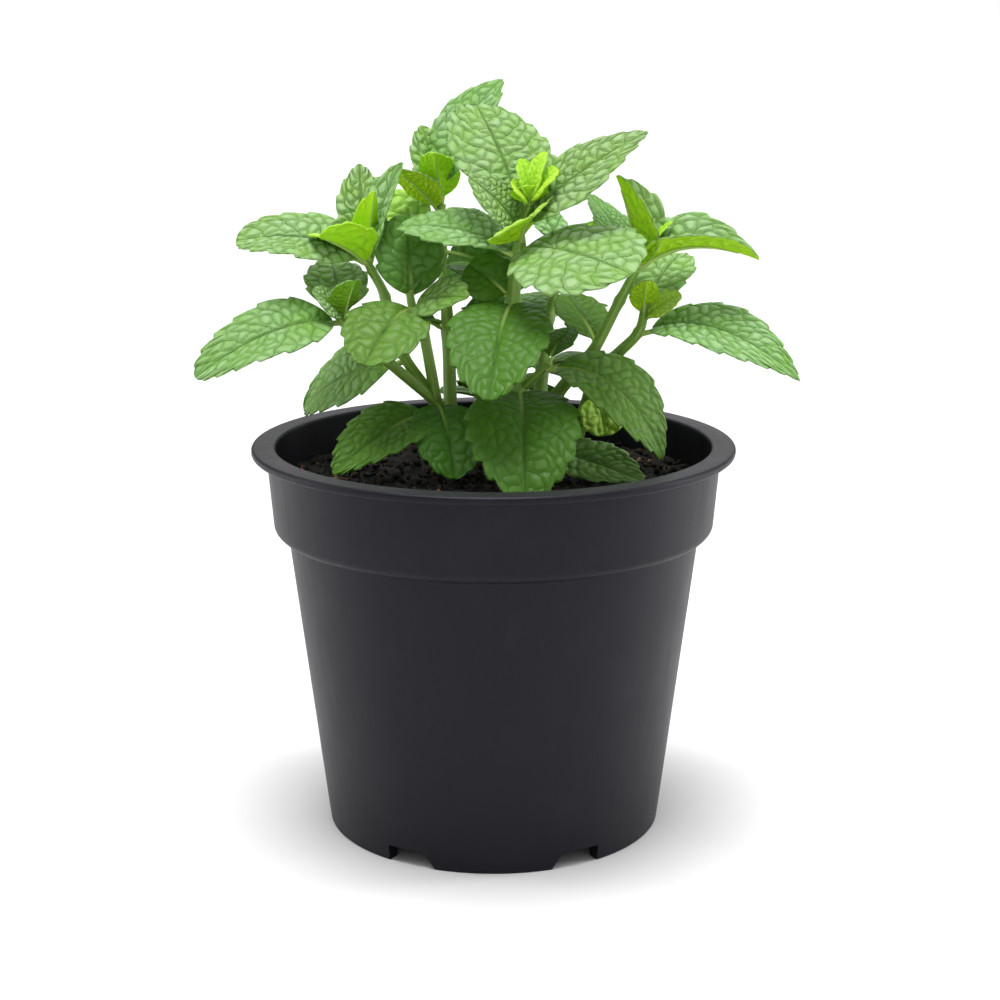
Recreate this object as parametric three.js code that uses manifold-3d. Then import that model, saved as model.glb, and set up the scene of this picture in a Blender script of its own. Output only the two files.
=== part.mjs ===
// A mint plant in a round nursery pot.
// Millimetres, +Z up, the front of the pot towards -Y. The origin is on the ground under the pot's centre.
import * as THREE from 'three';
import { mergeVertices } from 'three/addons/utils/BufferGeometryUtils.js';
import Module from 'manifold-3d';

const wasm = await Module();
wasm.setup();

// Pot: a thin moulded shell with a collar, a flat rim and a foot ring
const rimRadius = 75;
const rimInnerRadius = 67.5;
const potHeight = 121.6;
const rimThickness = 2.6;
const rimEdge = 0.8;
const neckRadius = 70.4;
const collarFootRadius = 68.6;
const stepRadius = 64.2;
const stepHeight = 94;
const collarFillet = 3.4;
const collarFilletSteps = 3;
const footRadius = 52.7;
const wall = 1.5;
const footRingWidth = 4.2;
const floorUnderside = 5.4;
const floorTop = 6.9;
const potSegments = 60;

// Pot: notches through the foot ring, slanted on the side nearer the front, and drain holes in the floor
const notchCount = 6;
const notchHeight = 5.2;
const notchWidth = 12.6;
const notchSlant = 4;
const drainHoleRadius = 4;
const drainHoleCircle = 41;
const cutterReach = 1;

// Soil: it fills the pot to a little below the rim
const soilLevel = 109.2;
const soilGap = 0.3;
const soilTopBand = 0.01;
const soilSegments = 48;
const soilRings = [64, 55, 45, 35, 25, 14];

// Stems: square with soft corners, standing in plain holes in the soil
const stemSides = 8;
const stemSquareness = 0.08;
const footDepth = 12;
const footRise = 1;
const stepsPerNode = 2;
const holeClearance = 0.6;
const holeSides = 16;
const holeReach = 5;

// Leaves: arched along the midrib and lifted or folded across it, with saw teeth that point forward
const bladeThickness = 0.8;
const petioleHalfWidth = 0.9;
const petioleThickness = 1.6;
const midribThickness = 1.3;
const midribControl = 0.4;
const toothDepth = 0.045;
const toothSpacing = 7;
const fewestTeeth = 3;
const mostTeeth = 8;
const midribCrowding = 1.1;
const marginCrowding = 1.9;
const marginCurl = 0.12;
const baseFullness = 0.6;
const narrowestTip = 1.5;
const tipRounding = 1.4;
const bluntTip = 0.5;
const sharpTip = 0.9;

// The plant, stem by stem. A stem's path goes from its foot in the soil through its nodes, where the leaves
// grow, and a side branch starts at one of them. The radius is that at the path's two ends.
// A leaf: [node, azimuth, reach, rise, width, roll, arch, fold, petiole]. The azimuth is 0 towards +X and 90
// towards the back, and reach and rise lead from the stem to the leaf's tip. Roll turns the blade about its
// midrib, arch is the bow of the midrib as a share of its length, and fold lifts both halves of the blade.
// A node that isn't whole lies between two points of the path.
const plant = {
  leafy_stem_centre: [
    {
      path: [[9, 2, soilLevel], [8, 2, 137], [6, 1, 165], [8, 2, 181], [8, 3, 187], [11, 3, 194]],
      radius: [2.5, 1.3],
      leaves: [
        [1, 272, 42, -25, 34, 0, 0.16, 12, 5],
        [1, 118, 28, -4, 24, 0, 0.1, 12, 4],
        [2, 260, 42, -23, 31, 0, 0.11, 12, 5],
        [2, 112, 34, 8, 28, 0, 0.08, 12, 4],
        [2, 168, 14, 11, 18, -50, 0.1, 12, 4],
        [2.8, 166, 38, 8, 29, -14, 0.1, 12, 4],
        [3, 317, 44, -4, 41, 22, 0.07, 4, 3],
        [3.2, 290, 13, 9.5, 26, 28, 0.1, 12, 2],
        [3.8, 195, 16, 17, 15, -50, 0.1, 12, 3],
        [4, 4, 39, 29, 27, 24, 0.06, 10, 4],
        [4.4, 117, 32, 33, 34, 0, 0.05, 12, 4],
        [5, 30, 6, 16, 11, 0, 0.1, 12, 2],
        [5, 140, 4, 14, 10, 0, 0.1, 12, 2],
        [5, 350, 9, 11, 13, 25, 0.1, 12, 2],
        [4.9, 200, 6, 8, 11, -30, 0.1, 12, 2],
        [4.9, 285, 4, 7, 12, 0, 0.1, 12, 2],
      ],
    },
    {
      path: [[8, 2, 137], [17, -1, 146]],
      radius: [1.4, 1.1],
      leaves: [
        [0.85, 349, 37, -27, 28, 25, 0.24, 12, 4],
        [1, 42, 10, 10, 13, 0, 0.1, 12, 3],
      ],
    },
  ],
  leafy_stem_left: [
    {
      path: [[-17, 12, soilLevel], [-18, 11, 132]],
      radius: [2.3, 2.0],
      leaves: [
        [1, 283, 28, -19, 23, 0, 0.1, 12, 4],
        [0.85, 226, 44, -13, 23, -20, 0.1, 12, 7],
      ],
    },
    {
      path: [[-18, 11, 132], [-22, 9, 155], [-25, 8, 162], [-26, 8, 167]],
      radius: [1.7, 1.1],
      leaves: [
        [2, 246, 33, -13, 26, -12, 0.12, 12, 3],
        [2, 312, 26, 6, 17, 40, 0.08, 12, 3],
        [2.3, 100, 12, 26, 22, 0, 0.05, 12, 3],
        [3, 30, 4, 4, 4, 0, 0.1, 12, 1],
      ],
    },
    {
      path: [[-18, 11, 132], [-29, 12, 148], [-34, 14, 165], [-38, 14, 173], [-41, 14, 179]],
      radius: [1.7, 1.1],
      leaves: [
        [0.8, 146, 42, -20, 26, -48, 0.12, 12, 5],
        [3.3, 180, 41, 7, 29, -23, 0.13, 12, 4],
        [3.2, 50, 16, 31, 19, -8, 0.06, 30, 3],
        [3.3, 225, 20, 10, 23, 18, 0.06, 27, 2],
        [3.3, 300, 5, 23, 13, 0, 0.06, 42, 3],
        [3.9, 96, 19, 26, 16, 0, 0.06, 12, 3],
      ],
    },
    {
      path: [[-18, 11, 132], [-34, 4, 147], [-46, 0, 159], [-48, 0, 162]],
      radius: [1.7, 1.1],
      leaves: [
        [2, 198, 46, -15, 29, -23, 0.12, 12, 4],
        [2.2, 99, 31, 14, 20, 0, 0.08, 12, 3],
        [2, 205, 10, 10, 13, -35, 0.08, 12, 2],
        [2, 315, 6, 13, 13, 0, 0.08, 25, 2],
      ],
    },
  ],
  leafy_stem_upper_right: [
    {
      path: [[15, 16, soilLevel], [19, 12, 132], [30, 8, 147], [39, 5, 165], [44, 4, 175]],
      radius: [2.2, 1.2],
      leaves: [
        [0.3, 320, 40, -5.5, 20, 22, 0.02, 12, 4],
        [4, 164, 7, 28, 27, 0, 0.06, 48, 2],
        [4, 354, 37, 3, 27, 10, 0.16, 38, 2],
        [4, 125, 26, 21, 14, 0, 0.06, 12, 4],
        [4, 11, 11, 14, 9, 0, 0.06, 12, 2],
        [4, 47, 5, 15, 9, 0, 0.06, 12, 2],
      ],
    },
  ],
  leafy_stem_lower_right: [
    {
      path: [[24, 20, soilLevel], [31, 17, 134], [38, 12, 146], [45, 6, 155], [47, 6, 164]],
      radius: [2.2, 1.2],
      leaves: [
        [1, 302, 7, -13, 18, 0, 0.12, 12, 3],
        [1.6, 121, 24, 21, 19, 0, 0.08, 12, 12],
        [2.85, 339, 52, -11, 27, 20, 0.19, 12, 6],
        [3.6, 60, 26, 16, 21, 0, 0.08, 12, 3],
        [3.4, 350, 12, 8, 12, 30, 0.08, 12, 2],
        [3.5, 280, 4, 12, 9, 0, 0.08, 12, 2],
      ],
    },
  ],
  leafy_stem_back_left: [
    {
      path: [[-14, 37, soilLevel], [-15, 40, 150], [-17, 42, 176], [-17, 42, 191]],
      radius: [2.2, 1.2],
      leaves: [
        [1, 200, 21, 5, 20, 0, 0.12, 12, 4],
        [1, 345, 28, 2, 24, 50, 0.1, 12, 4],
        [2, 90, 24, 2, 22, 0, 0.1, 12, 4],
        [2, 340, 24, -6, 26, 55, 0.08, 12, 4],
        [2.2, 165, 22, 10, 20, -45, 0.1, 12, 6],
        [2.8, 210, 16, 14, 15, 20, 0.06, 12, 3],
        [3, 27, 22, 39, 28, 10, 0.12, 12, 8],
        [3, 114, 17, 24, 16, 0, 0.06, 12, 3],
        [3, 260, 11, 17, 14, 0, 0.06, 20, 3],
      ],
    },
  ],
  leafy_stem_back_right: [
    {
      path: [[14, 38, soilLevel], [16, 40, 138], [18, 42, 154], [21, 44, 167], [23, 46, 174]],
      radius: [2.2, 1.1],
      leaves: [
        [1, 75, 28, -8, 24, 0, 0.12, 12, 4],
        [1, 15, 28, -2, 18, 0, 0.1, 12, 4],
        [2, 130, 26, 3, 24, 0, 0.1, 12, 4],
        [2, 35, 22, 2, 18, 0, 0.1, 12, 4],
        [3, 60, 26, 8, 22, 0, 0.1, 12, 4],
        [3, 205, 15, 8, 16, 0, 0.1, 12, 4],
        [4, 140, 14, 16, 16, 0, 0.06, 12, 3],
        [4, 325, 14, 12, 16, 0, 0.06, 12, 3],
        [4, 50, 5, 8, 8, 0, 0.1, 12, 1],
      ],
    },
  ],
  leafy_stem_back_low: [
    {
      path: [[0, 48, soilLevel], [0, 50, 124], [0, 52, 134]],
      radius: [1.8, 1.1],
      leaves: [
        [1, 5, 22, 3, 18, 0, 0.1, 12, 3],
        [1, 188, 18, 4, 16, 0, 0.1, 12, 3],
        [2, 95, 14, 8, 14, 0, 0.1, 12, 2],
        [2, 275, 12, 8, 12, 0, 0.1, 12, 2],
        [2, 20, 5, 8, 7, 0, 0.1, 12, 1],
      ],
    },
  ],
};

const finishes = {
  pot: { color: 0x2d2e31, roughness: 0.45, metalness: 0 },
  soil: { color: 0x1d1712, roughness: 0.95, metalness: 0 },
  leaf: { color: 0x5f9d45, roughness: 0.6, metalness: 0 },
};

// A closed solid from a geometry whose faces point out
function solidFrom(geometry) {
  const bare = geometry.clone();
  bare.deleteAttribute('normal');
  bare.deleteAttribute('uv');
  const merged = mergeVertices(bare, 1e-4);
  return new wasm.Manifold(new wasm.Mesh({
    numProp: 3,
    vertProperties: new Float32Array(merged.attributes.position.array),
    triVerts: new Uint32Array(merged.index.array),
  }));
}

// A named mesh from a solid
function meshFrom(solid, name, finish) {
  const { vertProperties, triVerts } = solid.getMesh();
  const geometry = new THREE.BufferGeometry();
  geometry.setAttribute('position', new THREE.BufferAttribute(vertProperties, 3));
  geometry.setIndex(new THREE.BufferAttribute(triVerts, 1));
  geometry.computeVertexNormals();
  const mesh = new THREE.Mesh(geometry, new THREE.MeshStandardMaterial(finish));
  mesh.name = name;
  return mesh;
}

// Turns a profile of [radius, height] points about the Z axis
function turned(profile, segments) {
  const points = profile.map(([radius, height]) => new THREE.Vector2(radius, height));
  return new THREE.LatheGeometry(points, segments).rotateX(Math.PI / 2);
}

// An upright round peg whose middle line goes through [x, y]
function peg(x, y, radius, bottom, top, sides) {
  const geometry = new THREE.CylinderGeometry(radius, radius, top - bottom, sides);
  return solidFrom(geometry.rotateX(Math.PI / 2).translate(x, y, (top + bottom) / 2));
}

// The rounded lower corner of the collar, as points on a quarter of an ellipse
function collarCorner() {
  const points = [];
  for (let step = 0; step <= collarFilletSteps; step += 1) {
    const turn = (Math.PI / 2) * (step / collarFilletSteps);
    const radius = THREE.MathUtils.lerp(stepRadius, collarFootRadius, Math.sin(turn));
    points.push([radius, stepHeight + collarFillet * (1 - Math.cos(turn))]);
  }
  return points;
}

// The pot's shell, from the middle of its underside round the rim to the middle of its floor
function potProfile() {
  return [
    [0, floorUnderside],
    [footRadius - footRingWidth, floorUnderside],
    [footRadius - footRingWidth, 0],
    [footRadius, 0],
    ...collarCorner(),
    [neckRadius, potHeight - rimThickness],
    [rimRadius - rimEdge, potHeight - rimThickness],
    [rimRadius, potHeight - rimThickness + rimEdge],
    [rimRadius, potHeight - rimEdge],
    [rimRadius - rimEdge, potHeight],
    [rimInnerRadius + rimEdge, potHeight],
    [rimInnerRadius, potHeight - rimEdge],
    [collarFootRadius - wall, stepHeight + collarFillet],
    [stepRadius - wall, stepHeight],
    [footRadius - wall, floorTop],
    [0, floorTop],
  ];
}

// A block that cuts one notch, lying along the radius at this azimuth
function notchBlock(azimuth) {
  const half = notchWidth / 2;
  const frontSide = Math.cos(azimuth) > 0 ? -1 : 1;
  const outline = new THREE.Shape();
  outline.moveTo(frontSide * (half + notchSlant), -cutterReach);
  outline.lineTo(-frontSide * half, -cutterReach);
  outline.lineTo(-frontSide * half, notchHeight);
  outline.lineTo(frontSide * half, notchHeight);
  const depth = footRingWidth + 3 * cutterReach;
  const block = new THREE.ExtrudeGeometry(outline, { depth, bevelEnabled: false });
  const acrossUpOut = new THREE.Matrix4().makeBasis(
    new THREE.Vector3(0, 1, 0),
    new THREE.Vector3(0, 0, 1),
    new THREE.Vector3(1, 0, 0),
  );
  const inner = footRadius - footRingWidth - cutterReach;
  block.applyMatrix4(acrossUpOut).translate(inner, 0, 0).rotateZ(azimuth);
  return solidFrom(block);
}

function makePot() {
  const holeBottom = floorUnderside - cutterReach;
  const holeTop = floorTop + cutterReach;
  let pot = solidFrom(turned(potProfile(), potSegments));
  for (let index = 0; index < notchCount; index += 1) {
    const azimuth = (2 * Math.PI * index) / notchCount;
    const holeX = drainHoleCircle * Math.cos(azimuth);
    const holeY = drainHoleCircle * Math.sin(azimuth);
    pot = pot.subtract(notchBlock(azimuth));
    pot = pot.subtract(peg(holeX, holeY, drainHoleRadius, holeBottom, holeTop, holeSides));
  }
  return meshFrom(pot, 'pot', finishes.pot);
}

// The soil's crumbly surface, as a height above or below its level
function soilRelief(x, y) {
  const broad = 0.7 * Math.sin(0.13 * x + 0.8) * Math.cos(0.11 * y - 0.4);
  const crumbs = 0.5 * Math.sin(0.43 * x - 0.31 * y) + 0.4 * Math.cos(0.37 * y + 0.52 * x);
  return broad + crumbs;
}

// The radius of the pot's inner wall beside the soil's surface
function innerRadiusAtSoil() {
  const wallFoot = stepHeight + collarFillet;
  const wallTop = potHeight - rimEdge;
  const share = (soilLevel - wallFoot) / (wallTop - wallFoot);
  return THREE.MathUtils.lerp(collarFootRadius - wall, rimInnerRadius, share);
}

function makeSoil() {
  const bottom = floorTop + soilGap;
  const geometry = turned([
    [0, bottom],
    [footRadius - wall - soilGap, bottom],
    [stepRadius - wall - soilGap, stepHeight],
    [collarFootRadius - wall - soilGap, stepHeight + collarFillet],
    [innerRadiusAtSoil() - soilGap, soilLevel],
    ...soilRings.map((radius) => [radius, soilLevel]),
    [0, soilLevel],
  ], soilSegments);
  const position = geometry.attributes.position;
  for (let index = 0; index < position.count; index += 1) {
    if (position.getZ(index) > soilLevel - soilTopBand) {
      const relief = soilRelief(position.getX(index), position.getY(index));
      position.setZ(index, soilLevel + relief);
    }
  }
  let soil = solidFrom(geometry);
  for (const [firstBranch] of Object.values(plant)) {
    const [x, y] = firstBranch.path[0];
    const radius = firstBranch.radius[0] * (1 + stemSquareness) + holeClearance;
    const holeBottom = soilLevel - footDepth - soilGap;
    soil = soil.subtract(peg(x, y, radius, holeBottom, soilLevel + holeReach, holeSides));
  }
  return meshFrom(soil, 'soil', finishes.soil);
}

// The smooth middle line of a stem or branch
function curveThrough(path) {
  return new THREE.CatmullRomCurve3(path.map((point) => new THREE.Vector3(...point)), false, 'catmullrom');
}

// A stem: a cylinder whose rings are carried along the curve, squared a little and tapered
function stemSolid(path, radius) {
  const curve = curveThrough(path);
  const steps = stepsPerNode * (path.length - 1);
  const geometry = new THREE.CylinderGeometry(1, 1, 1, stemSides, steps);
  const position = geometry.attributes.position;
  const across = new THREE.Vector3();
  const depth = new THREE.Vector3();
  for (let index = 0; index < position.count; index += 1) {
    const along = position.getY(index) + 0.5;
    const x = position.getX(index);
    const z = position.getZ(index);
    const tangent = curve.getTangent(along);
    depth.set(0, 1, 0).addScaledVector(tangent, -tangent.y).normalize();
    across.crossVectors(tangent, depth);
    const square = 1 + stemSquareness * Math.cos(4 * Math.atan2(x, z));
    const size = THREE.MathUtils.lerp(radius[0], radius[1], along) * square;
    const place = curve.getPoint(along).addScaledVector(across, x * size).addScaledVector(depth, z * size);
    position.setXYZ(index, place.x, place.y, place.z);
  }
  return solidFrom(geometry);
}

// Half the blade's width at a share of its length, as a share of its greatest half width. Broad leaves
// are blunt, and slender or folded ones run out to a point.
function ovate(share, breadth) {
  const tipTaper = THREE.MathUtils.clamp(narrowestTip - tipRounding * breadth, bluntTip, sharpTip);
  const shape = (at) => at ** baseFullness * (1 - at) ** tipTaper;
  return shape(share) / shape(baseFullness / (baseFullness + tipTaper));
}

// One leaf as a closed blade on its stalk. Both faces are split into the same triangles.
function leafSolid(foot, [, azimuth, reach, rise, width, roll, arch, fold, petiole]) {
  const turn = THREE.MathUtils.degToRad(azimuth);
  const lift = THREE.MathUtils.degToRad(fold);
  const chord = new THREE.Vector3(reach * Math.cos(turn), reach * Math.sin(turn), rise);
  const length = chord.length();
  const tip = foot.clone().add(chord);
  const forward = chord.clone().normalize();
  const normal = new THREE.Vector3(0, 0, 1).addScaledVector(forward, -forward.z).normalize();
  normal.applyAxisAngle(forward, THREE.MathUtils.degToRad(roll));
  const side = new THREE.Vector3().crossVectors(forward, normal);
  const bow = 2 * arch * length;
  const control = foot.clone().addScaledVector(chord, midribControl).addScaledVector(normal, bow);
  const midrib = new THREE.QuadraticBezierCurve3(foot, control, tip);
  const breadth = (width / length) * Math.cos(lift) ** 2;
  const bladeStart = petiole / length;
  const teeth = THREE.MathUtils.clamp(Math.round(length / toothSpacing), fewestTeeth, mostTeeth);

  // A point at a share of the blade's length, out to a half width, and the thickness there
  const top = [];
  const bottom = [];
  const addPoint = (share, halfWidth, thickness) => {
    const along = bladeStart + (1 - bladeStart) * share;
    const tangent = midrib.getTangent(along);
    const above = new THREE.Vector3().crossVectors(side, tangent).normalize();
    const out = Math.abs(halfWidth);
    const curl = (marginCurl * out * out) / (width / 2);
    const height = out * Math.sin(lift) - curl;
    const middle = midrib.getPoint(along);
    middle.addScaledVector(side, halfWidth * Math.cos(lift)).addScaledVector(above, height);
    top.push(middle.clone().addScaledVector(above, bladeThickness / 2));
    bottom.push(middle.clone().addScaledVector(above, bladeThickness / 2 - thickness));
    return top.length - 1;
  };

  const stalkShare = -bladeStart / (1 - bladeStart);
  const rows = [addPoint(stalkShare, 0, petioleThickness)];
  for (let tooth = 0; tooth <= teeth; tooth += 1) {
    const share = (tooth / teeth) ** midribCrowding;
    rows.push(addPoint(share, 0, THREE.MathUtils.lerp(midribThickness, bladeThickness, share)));
  }
  const marginOn = (hand) => {
    const margin = [
      addPoint(stalkShare, hand * petioleHalfWidth, petioleThickness),
      addPoint(0, hand * petioleHalfWidth, midribThickness),
    ];
    for (let half = 1; half < 2 * teeth; half += 1) {
      const share = 1 - (1 - half / (2 * teeth)) ** marginCrowding;
      const cut = half % 2 ? toothDepth : -toothDepth / 2;
      const halfWidth = (width / 2) * ovate(share, breadth) + cut * width;
      margin.push(addPoint(share, hand * Math.max(halfWidth, petioleHalfWidth), bladeThickness));
    }
    margin.push(rows[teeth + 1]);
    return margin;
  };

  const right = marginOn(1);
  const left = marginOn(-1);
  const triangles = [];
  const below = (index) => index + top.length;
  const face = (a, b, c, mirrored) => {
    triangles.push(...(mirrored ? [a, c, b] : [a, b, c]));
    triangles.push(...(mirrored ? [below(a), below(b), below(c)] : [below(a), below(c), below(b)]));
  };
  const wallBetween = (a, b, mirrored) => {
    const quad = [a, below(a), below(b), a, below(b), b];
    triangles.push(...(mirrored ? quad.reverse() : quad));
  };
  [right, left].forEach((margin, hand) => {
    const mirrored = hand === 1;
    face(rows[0], margin[0], margin[1], mirrored);
    face(rows[0], margin[1], rows[1], mirrored);
    for (let tooth = 0; tooth < teeth; tooth += 1) {
      const notch = 1 + 2 * tooth;
      const point = margin[notch + 1];
      face(rows[tooth + 1], margin[notch], point, mirrored);
      face(rows[tooth + 1], point, rows[tooth + 2], mirrored);
      if (tooth < teeth - 1) {
        face(rows[tooth + 2], point, margin[notch + 2], mirrored);
      }
    }
    wallBetween(rows[0], margin[0], mirrored);
    for (let index = 0; index < margin.length - 1; index += 1) {
      wallBetween(margin[index], margin[index + 1], mirrored);
    }
  });
  const geometry = new THREE.BufferGeometry().setFromPoints([...top, ...bottom]);
  geometry.setIndex(triangles);
  return solidFrom(geometry);
}

// A leafy stem: its branches and their leaves, grown together as one body
function makeLeafyStem(name, branches) {
  const [x, y] = branches[0].path[0];
  const footThickness = branches[0].radius[0];
  let body = peg(x, y, footThickness, soilLevel - footDepth, soilLevel + footRise, stemSides);
  for (const { path, radius, leaves } of branches) {
    const curve = curveThrough(path);
    body = body.add(stemSolid(path, radius));
    for (const leaf of leaves) {
      body = body.add(leafSolid(curve.getPoint(leaf[0] / (path.length - 1)), leaf));
    }
  }
  return meshFrom(body, name, finishes.leaf);
}

const group = new THREE.Group();
group.add(makePot());
group.add(makeSoil());
for (const [name, branches] of Object.entries(plant)) {
  group.add(makeLeafyStem(name, branches));
}
export default group;
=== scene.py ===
import math
import random

import bmesh
import bpy
import numpy as np
from mathutils import Matrix, Vector, noise


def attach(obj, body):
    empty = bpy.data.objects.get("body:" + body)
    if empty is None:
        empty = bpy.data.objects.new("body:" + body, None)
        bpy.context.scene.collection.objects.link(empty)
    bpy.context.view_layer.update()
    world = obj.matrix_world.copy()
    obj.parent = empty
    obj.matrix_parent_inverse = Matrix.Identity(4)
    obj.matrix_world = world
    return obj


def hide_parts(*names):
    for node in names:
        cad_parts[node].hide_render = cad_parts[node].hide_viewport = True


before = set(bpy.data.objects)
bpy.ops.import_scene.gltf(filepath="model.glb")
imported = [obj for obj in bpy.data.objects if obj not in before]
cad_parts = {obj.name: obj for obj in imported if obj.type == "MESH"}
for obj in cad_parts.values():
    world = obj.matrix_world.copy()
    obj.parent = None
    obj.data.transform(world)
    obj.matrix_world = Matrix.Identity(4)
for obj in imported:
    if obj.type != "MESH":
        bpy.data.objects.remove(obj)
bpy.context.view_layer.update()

# Viewpoint: a long lens in front of the pot, a little above the leaves and looking slightly down. It was
# fitted to the rim, the collar and the foot of the pot.
CAMERA_PLACE = (0.002, -0.619, 0.2528)
CAMERA_TILT_DOWN = 13.62
CAMERA_LENS = 73.15
CAMERA_SENSOR = 36

camera_data = bpy.data.cameras.new("viewpoint")
camera_data.lens = CAMERA_LENS
camera_data.sensor_width = CAMERA_SENSOR
camera = bpy.data.objects.new("viewpoint", camera_data)
camera.location = CAMERA_PLACE
camera.rotation_euler = (math.radians(90 - CAMERA_TILT_DOWN), 0, 0)
bpy.context.scene.collection.objects.link(camera)
bpy.context.scene.camera = camera

# Studio: a pale seamless floor in a soft white room. Broad soft light falls from above and a little from
# the front, and a tall strip on each side draws a pale edge on the pot.
FLOOR_HALF = 60.0
FLOOR_FINISH = {"Base Color": (0.74, 0.74, 0.74, 1), "Roughness": 0.9, "Specular IOR Level": 0.1}
ROOM_SEEN = (1, 1, 1, 1)
ROOM_LIGHT = (0.37, 0.37, 0.37, 1)
SUNS = [
    # name, direction it comes from, spread in degrees, strength
    ("soft_overhead", (-0.04, -0.08, 1.0), 32, 3.4),
    ("soft_front", (0.3, -1.0, 0.6), 90, 0.4),
    ("soft_back", (0.1, 1.0, 0.8), 60, 0.7),
]
STRIPS = [
    # name, place, what it points at, width, height, power
    ("left_strip", (-0.8, 0.1, 0.3), (0, 0, 0.1), 0.2, 0.8, 2.2),
    ("right_strip", (0.8, 0.1, 0.3), (0, 0, 0.1), 0.2, 0.8, 3.8),
]


def finished(bm, name, materials):
    """A new smooth object at the origin from a bmesh, with its materials"""
    mesh = bpy.data.meshes.new(name)
    bm.to_mesh(mesh)
    bm.free()
    for material in materials:
        mesh.materials.append(material)
    mesh.shade_smooth()
    thing = bpy.data.objects.new(name, mesh)
    bpy.context.scene.collection.objects.link(thing)
    return thing


def node_adder(tree):
    """A function that adds one node: plain settings by name, sockets as a dict of values or outputs"""
    def add(kind, sockets=None, **settings):
        node = tree.nodes.new(kind)
        for key, value in settings.items():
            setattr(node, key, value)
        for key, value in (sockets or {}).items():
            socket = node.inputs[key]
            if isinstance(value, bpy.types.NodeSocket):
                tree.links.new(value, socket)
            else:
                socket.default_value = value
        return node
    add.link = tree.links.new
    return add


def node_material(name, constants):
    """A new node material, its Principled shader with these constants, and its node adder"""
    material = bpy.data.materials.new(name)
    material.use_nodes = True
    tree = material.node_tree
    shader = tree.nodes["Principled BSDF"]
    for key, value in constants.items():
        shader.inputs[key].default_value = value
    return material, shader, node_adder(tree)


def mixed(add, share, first, second):
    """The first colour with a share of the second mixed into it"""
    sockets = {0: share, 6: first, 7: second}
    return add("ShaderNodeMix", sockets, data_type="RGBA", clamp_factor=True).outputs[2]


def add_lamp(name, kind, place, target):
    """A lamp at a place, turned towards its target"""
    lamp_data = bpy.data.lights.new(name, kind)
    lamp = bpy.data.objects.new(name, lamp_data)
    lamp.location = place
    lamp.rotation_euler = (Vector(target) - Vector(place)).to_track_quat("-Z", "Y").to_euler()
    bpy.context.scene.collection.objects.link(lamp)
    return lamp_data


world = bpy.data.worlds.new("white_room")
world.use_nodes = True
add = node_adder(world.node_tree)
seen = add("ShaderNodeLightPath").outputs["Is Camera Ray"]
room = mixed(add, seen, ROOM_LIGHT, ROOM_SEEN)
add.link(room, world.node_tree.nodes["Background"].inputs["Color"])
bpy.context.scene.world = world
bpy.context.scene.view_settings.view_transform = "Standard"

for sun_name, place, spread, strength in SUNS:
    sun = add_lamp(sun_name, "SUN", place, (0, 0, 0))
    sun.angle = math.radians(spread)
    sun.energy = strength
for strip_name, place, target, width, height, power in STRIPS:
    strip = add_lamp(strip_name, "AREA", place, target)
    strip.shape = "RECTANGLE"
    strip.size = width
    strip.size_y = height
    strip.energy = power

floor_mesh = bmesh.new()
bmesh.ops.create_grid(floor_mesh, x_segments=1, y_segments=1, size=FLOOR_HALF)
floor = finished(floor_mesh, "floor", [node_material("pale_floor", FLOOR_FINISH)[0]])

# Pot: a nursery pot moulded in one piece from charcoal polypropylene. A thin wall runs up to a rolled
# collar and a flat rim, and it stands on a foot ring with six slanted notches beside the drain holes.
MM = 0.001
WELD = 1e-6
RIM_RADIUS = 75.0
RIM_INNER_RADIUS = 67.5
POT_HEIGHT = 121.6
RIM_THICKNESS = 2.6
RIM_EDGE = 1.0
NECK_RADIUS = 70.4
COLLAR_FOOT_RADIUS = 68.6
STEP_RADIUS = 64.2
STEP_HEIGHT = 94.0
COLLAR_FILLET = 3.4
FOOT_RADIUS = 52.7
FOOT_EDGE = 0.5
WALL = 1.5
FOOT_RING_WIDTH = 4.2
FLOOR_UNDERSIDE = 5.4
FLOOR_TOP = 6.9
POT_STEPS = 180
SHARP_ANGLE = 32
NOTCH_COUNT = 6
NOTCH_HEIGHT = 5.2
NOTCH_WIDTH = 12.6
NOTCH_SLANT = 4.0
DRAIN_HOLE_RADIUS = 4.0
DRAIN_HOLE_CIRCLE = 41.0
DRAIN_HOLE_SIDES = 32
CUTTER_REACH = 1.0
CHARCOAL = (0.004, 0.004, 0.0065, 1)
CHARCOAL_WORN = (0.013, 0.013, 0.016, 1)
DUST = (0.24, 0.23, 0.22, 1)
PLASTIC_GLOSS = {"Specular IOR Level": 0.24, "Specular Tint": (0.88, 0.88, 1.0, 1)}
PLASTIC_ROUGHNESS = 0.36
# here and below, a noise is its scale, detail and roughness, an eased range its low and high and what
# they become, and a bump its strength and distance
MOULD_GRAIN = (2600, 3, 0.6)
SCUFF_CLOUDS = (38, 4, 0.6)
SCUFFED = (0.5, 0.75, 0.0, 0.35)
SCUFF_ROUGHNESS = 0.1
SCRATCHES = (420, 2, 0.6)
SCRATCH_STRETCH = (1, 1, 0.05)
SCRATCH_ROUGHNESS = 0.12
GRAIN_RISE = 0.6
SCRATCH_RISE = 0.4
PLASTIC_BUMP = (0.12, 0.0002)
DUST_SCALE = 210
DUST_RARITY = 0.93
DUST_SIZE = 0.085
DUST_COVER = 0.7


def quarter(radius, height, size_out, size_up, start, end, steps=5):
    """Points on a rounded corner of a profile, as (radius, height), from one angle to another"""
    turns = [math.radians(start + (end - start) * step / steps) for step in range(steps + 1)]
    return [(radius + size_out * math.cos(t), height + size_up * math.sin(t)) for t in turns]


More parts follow.
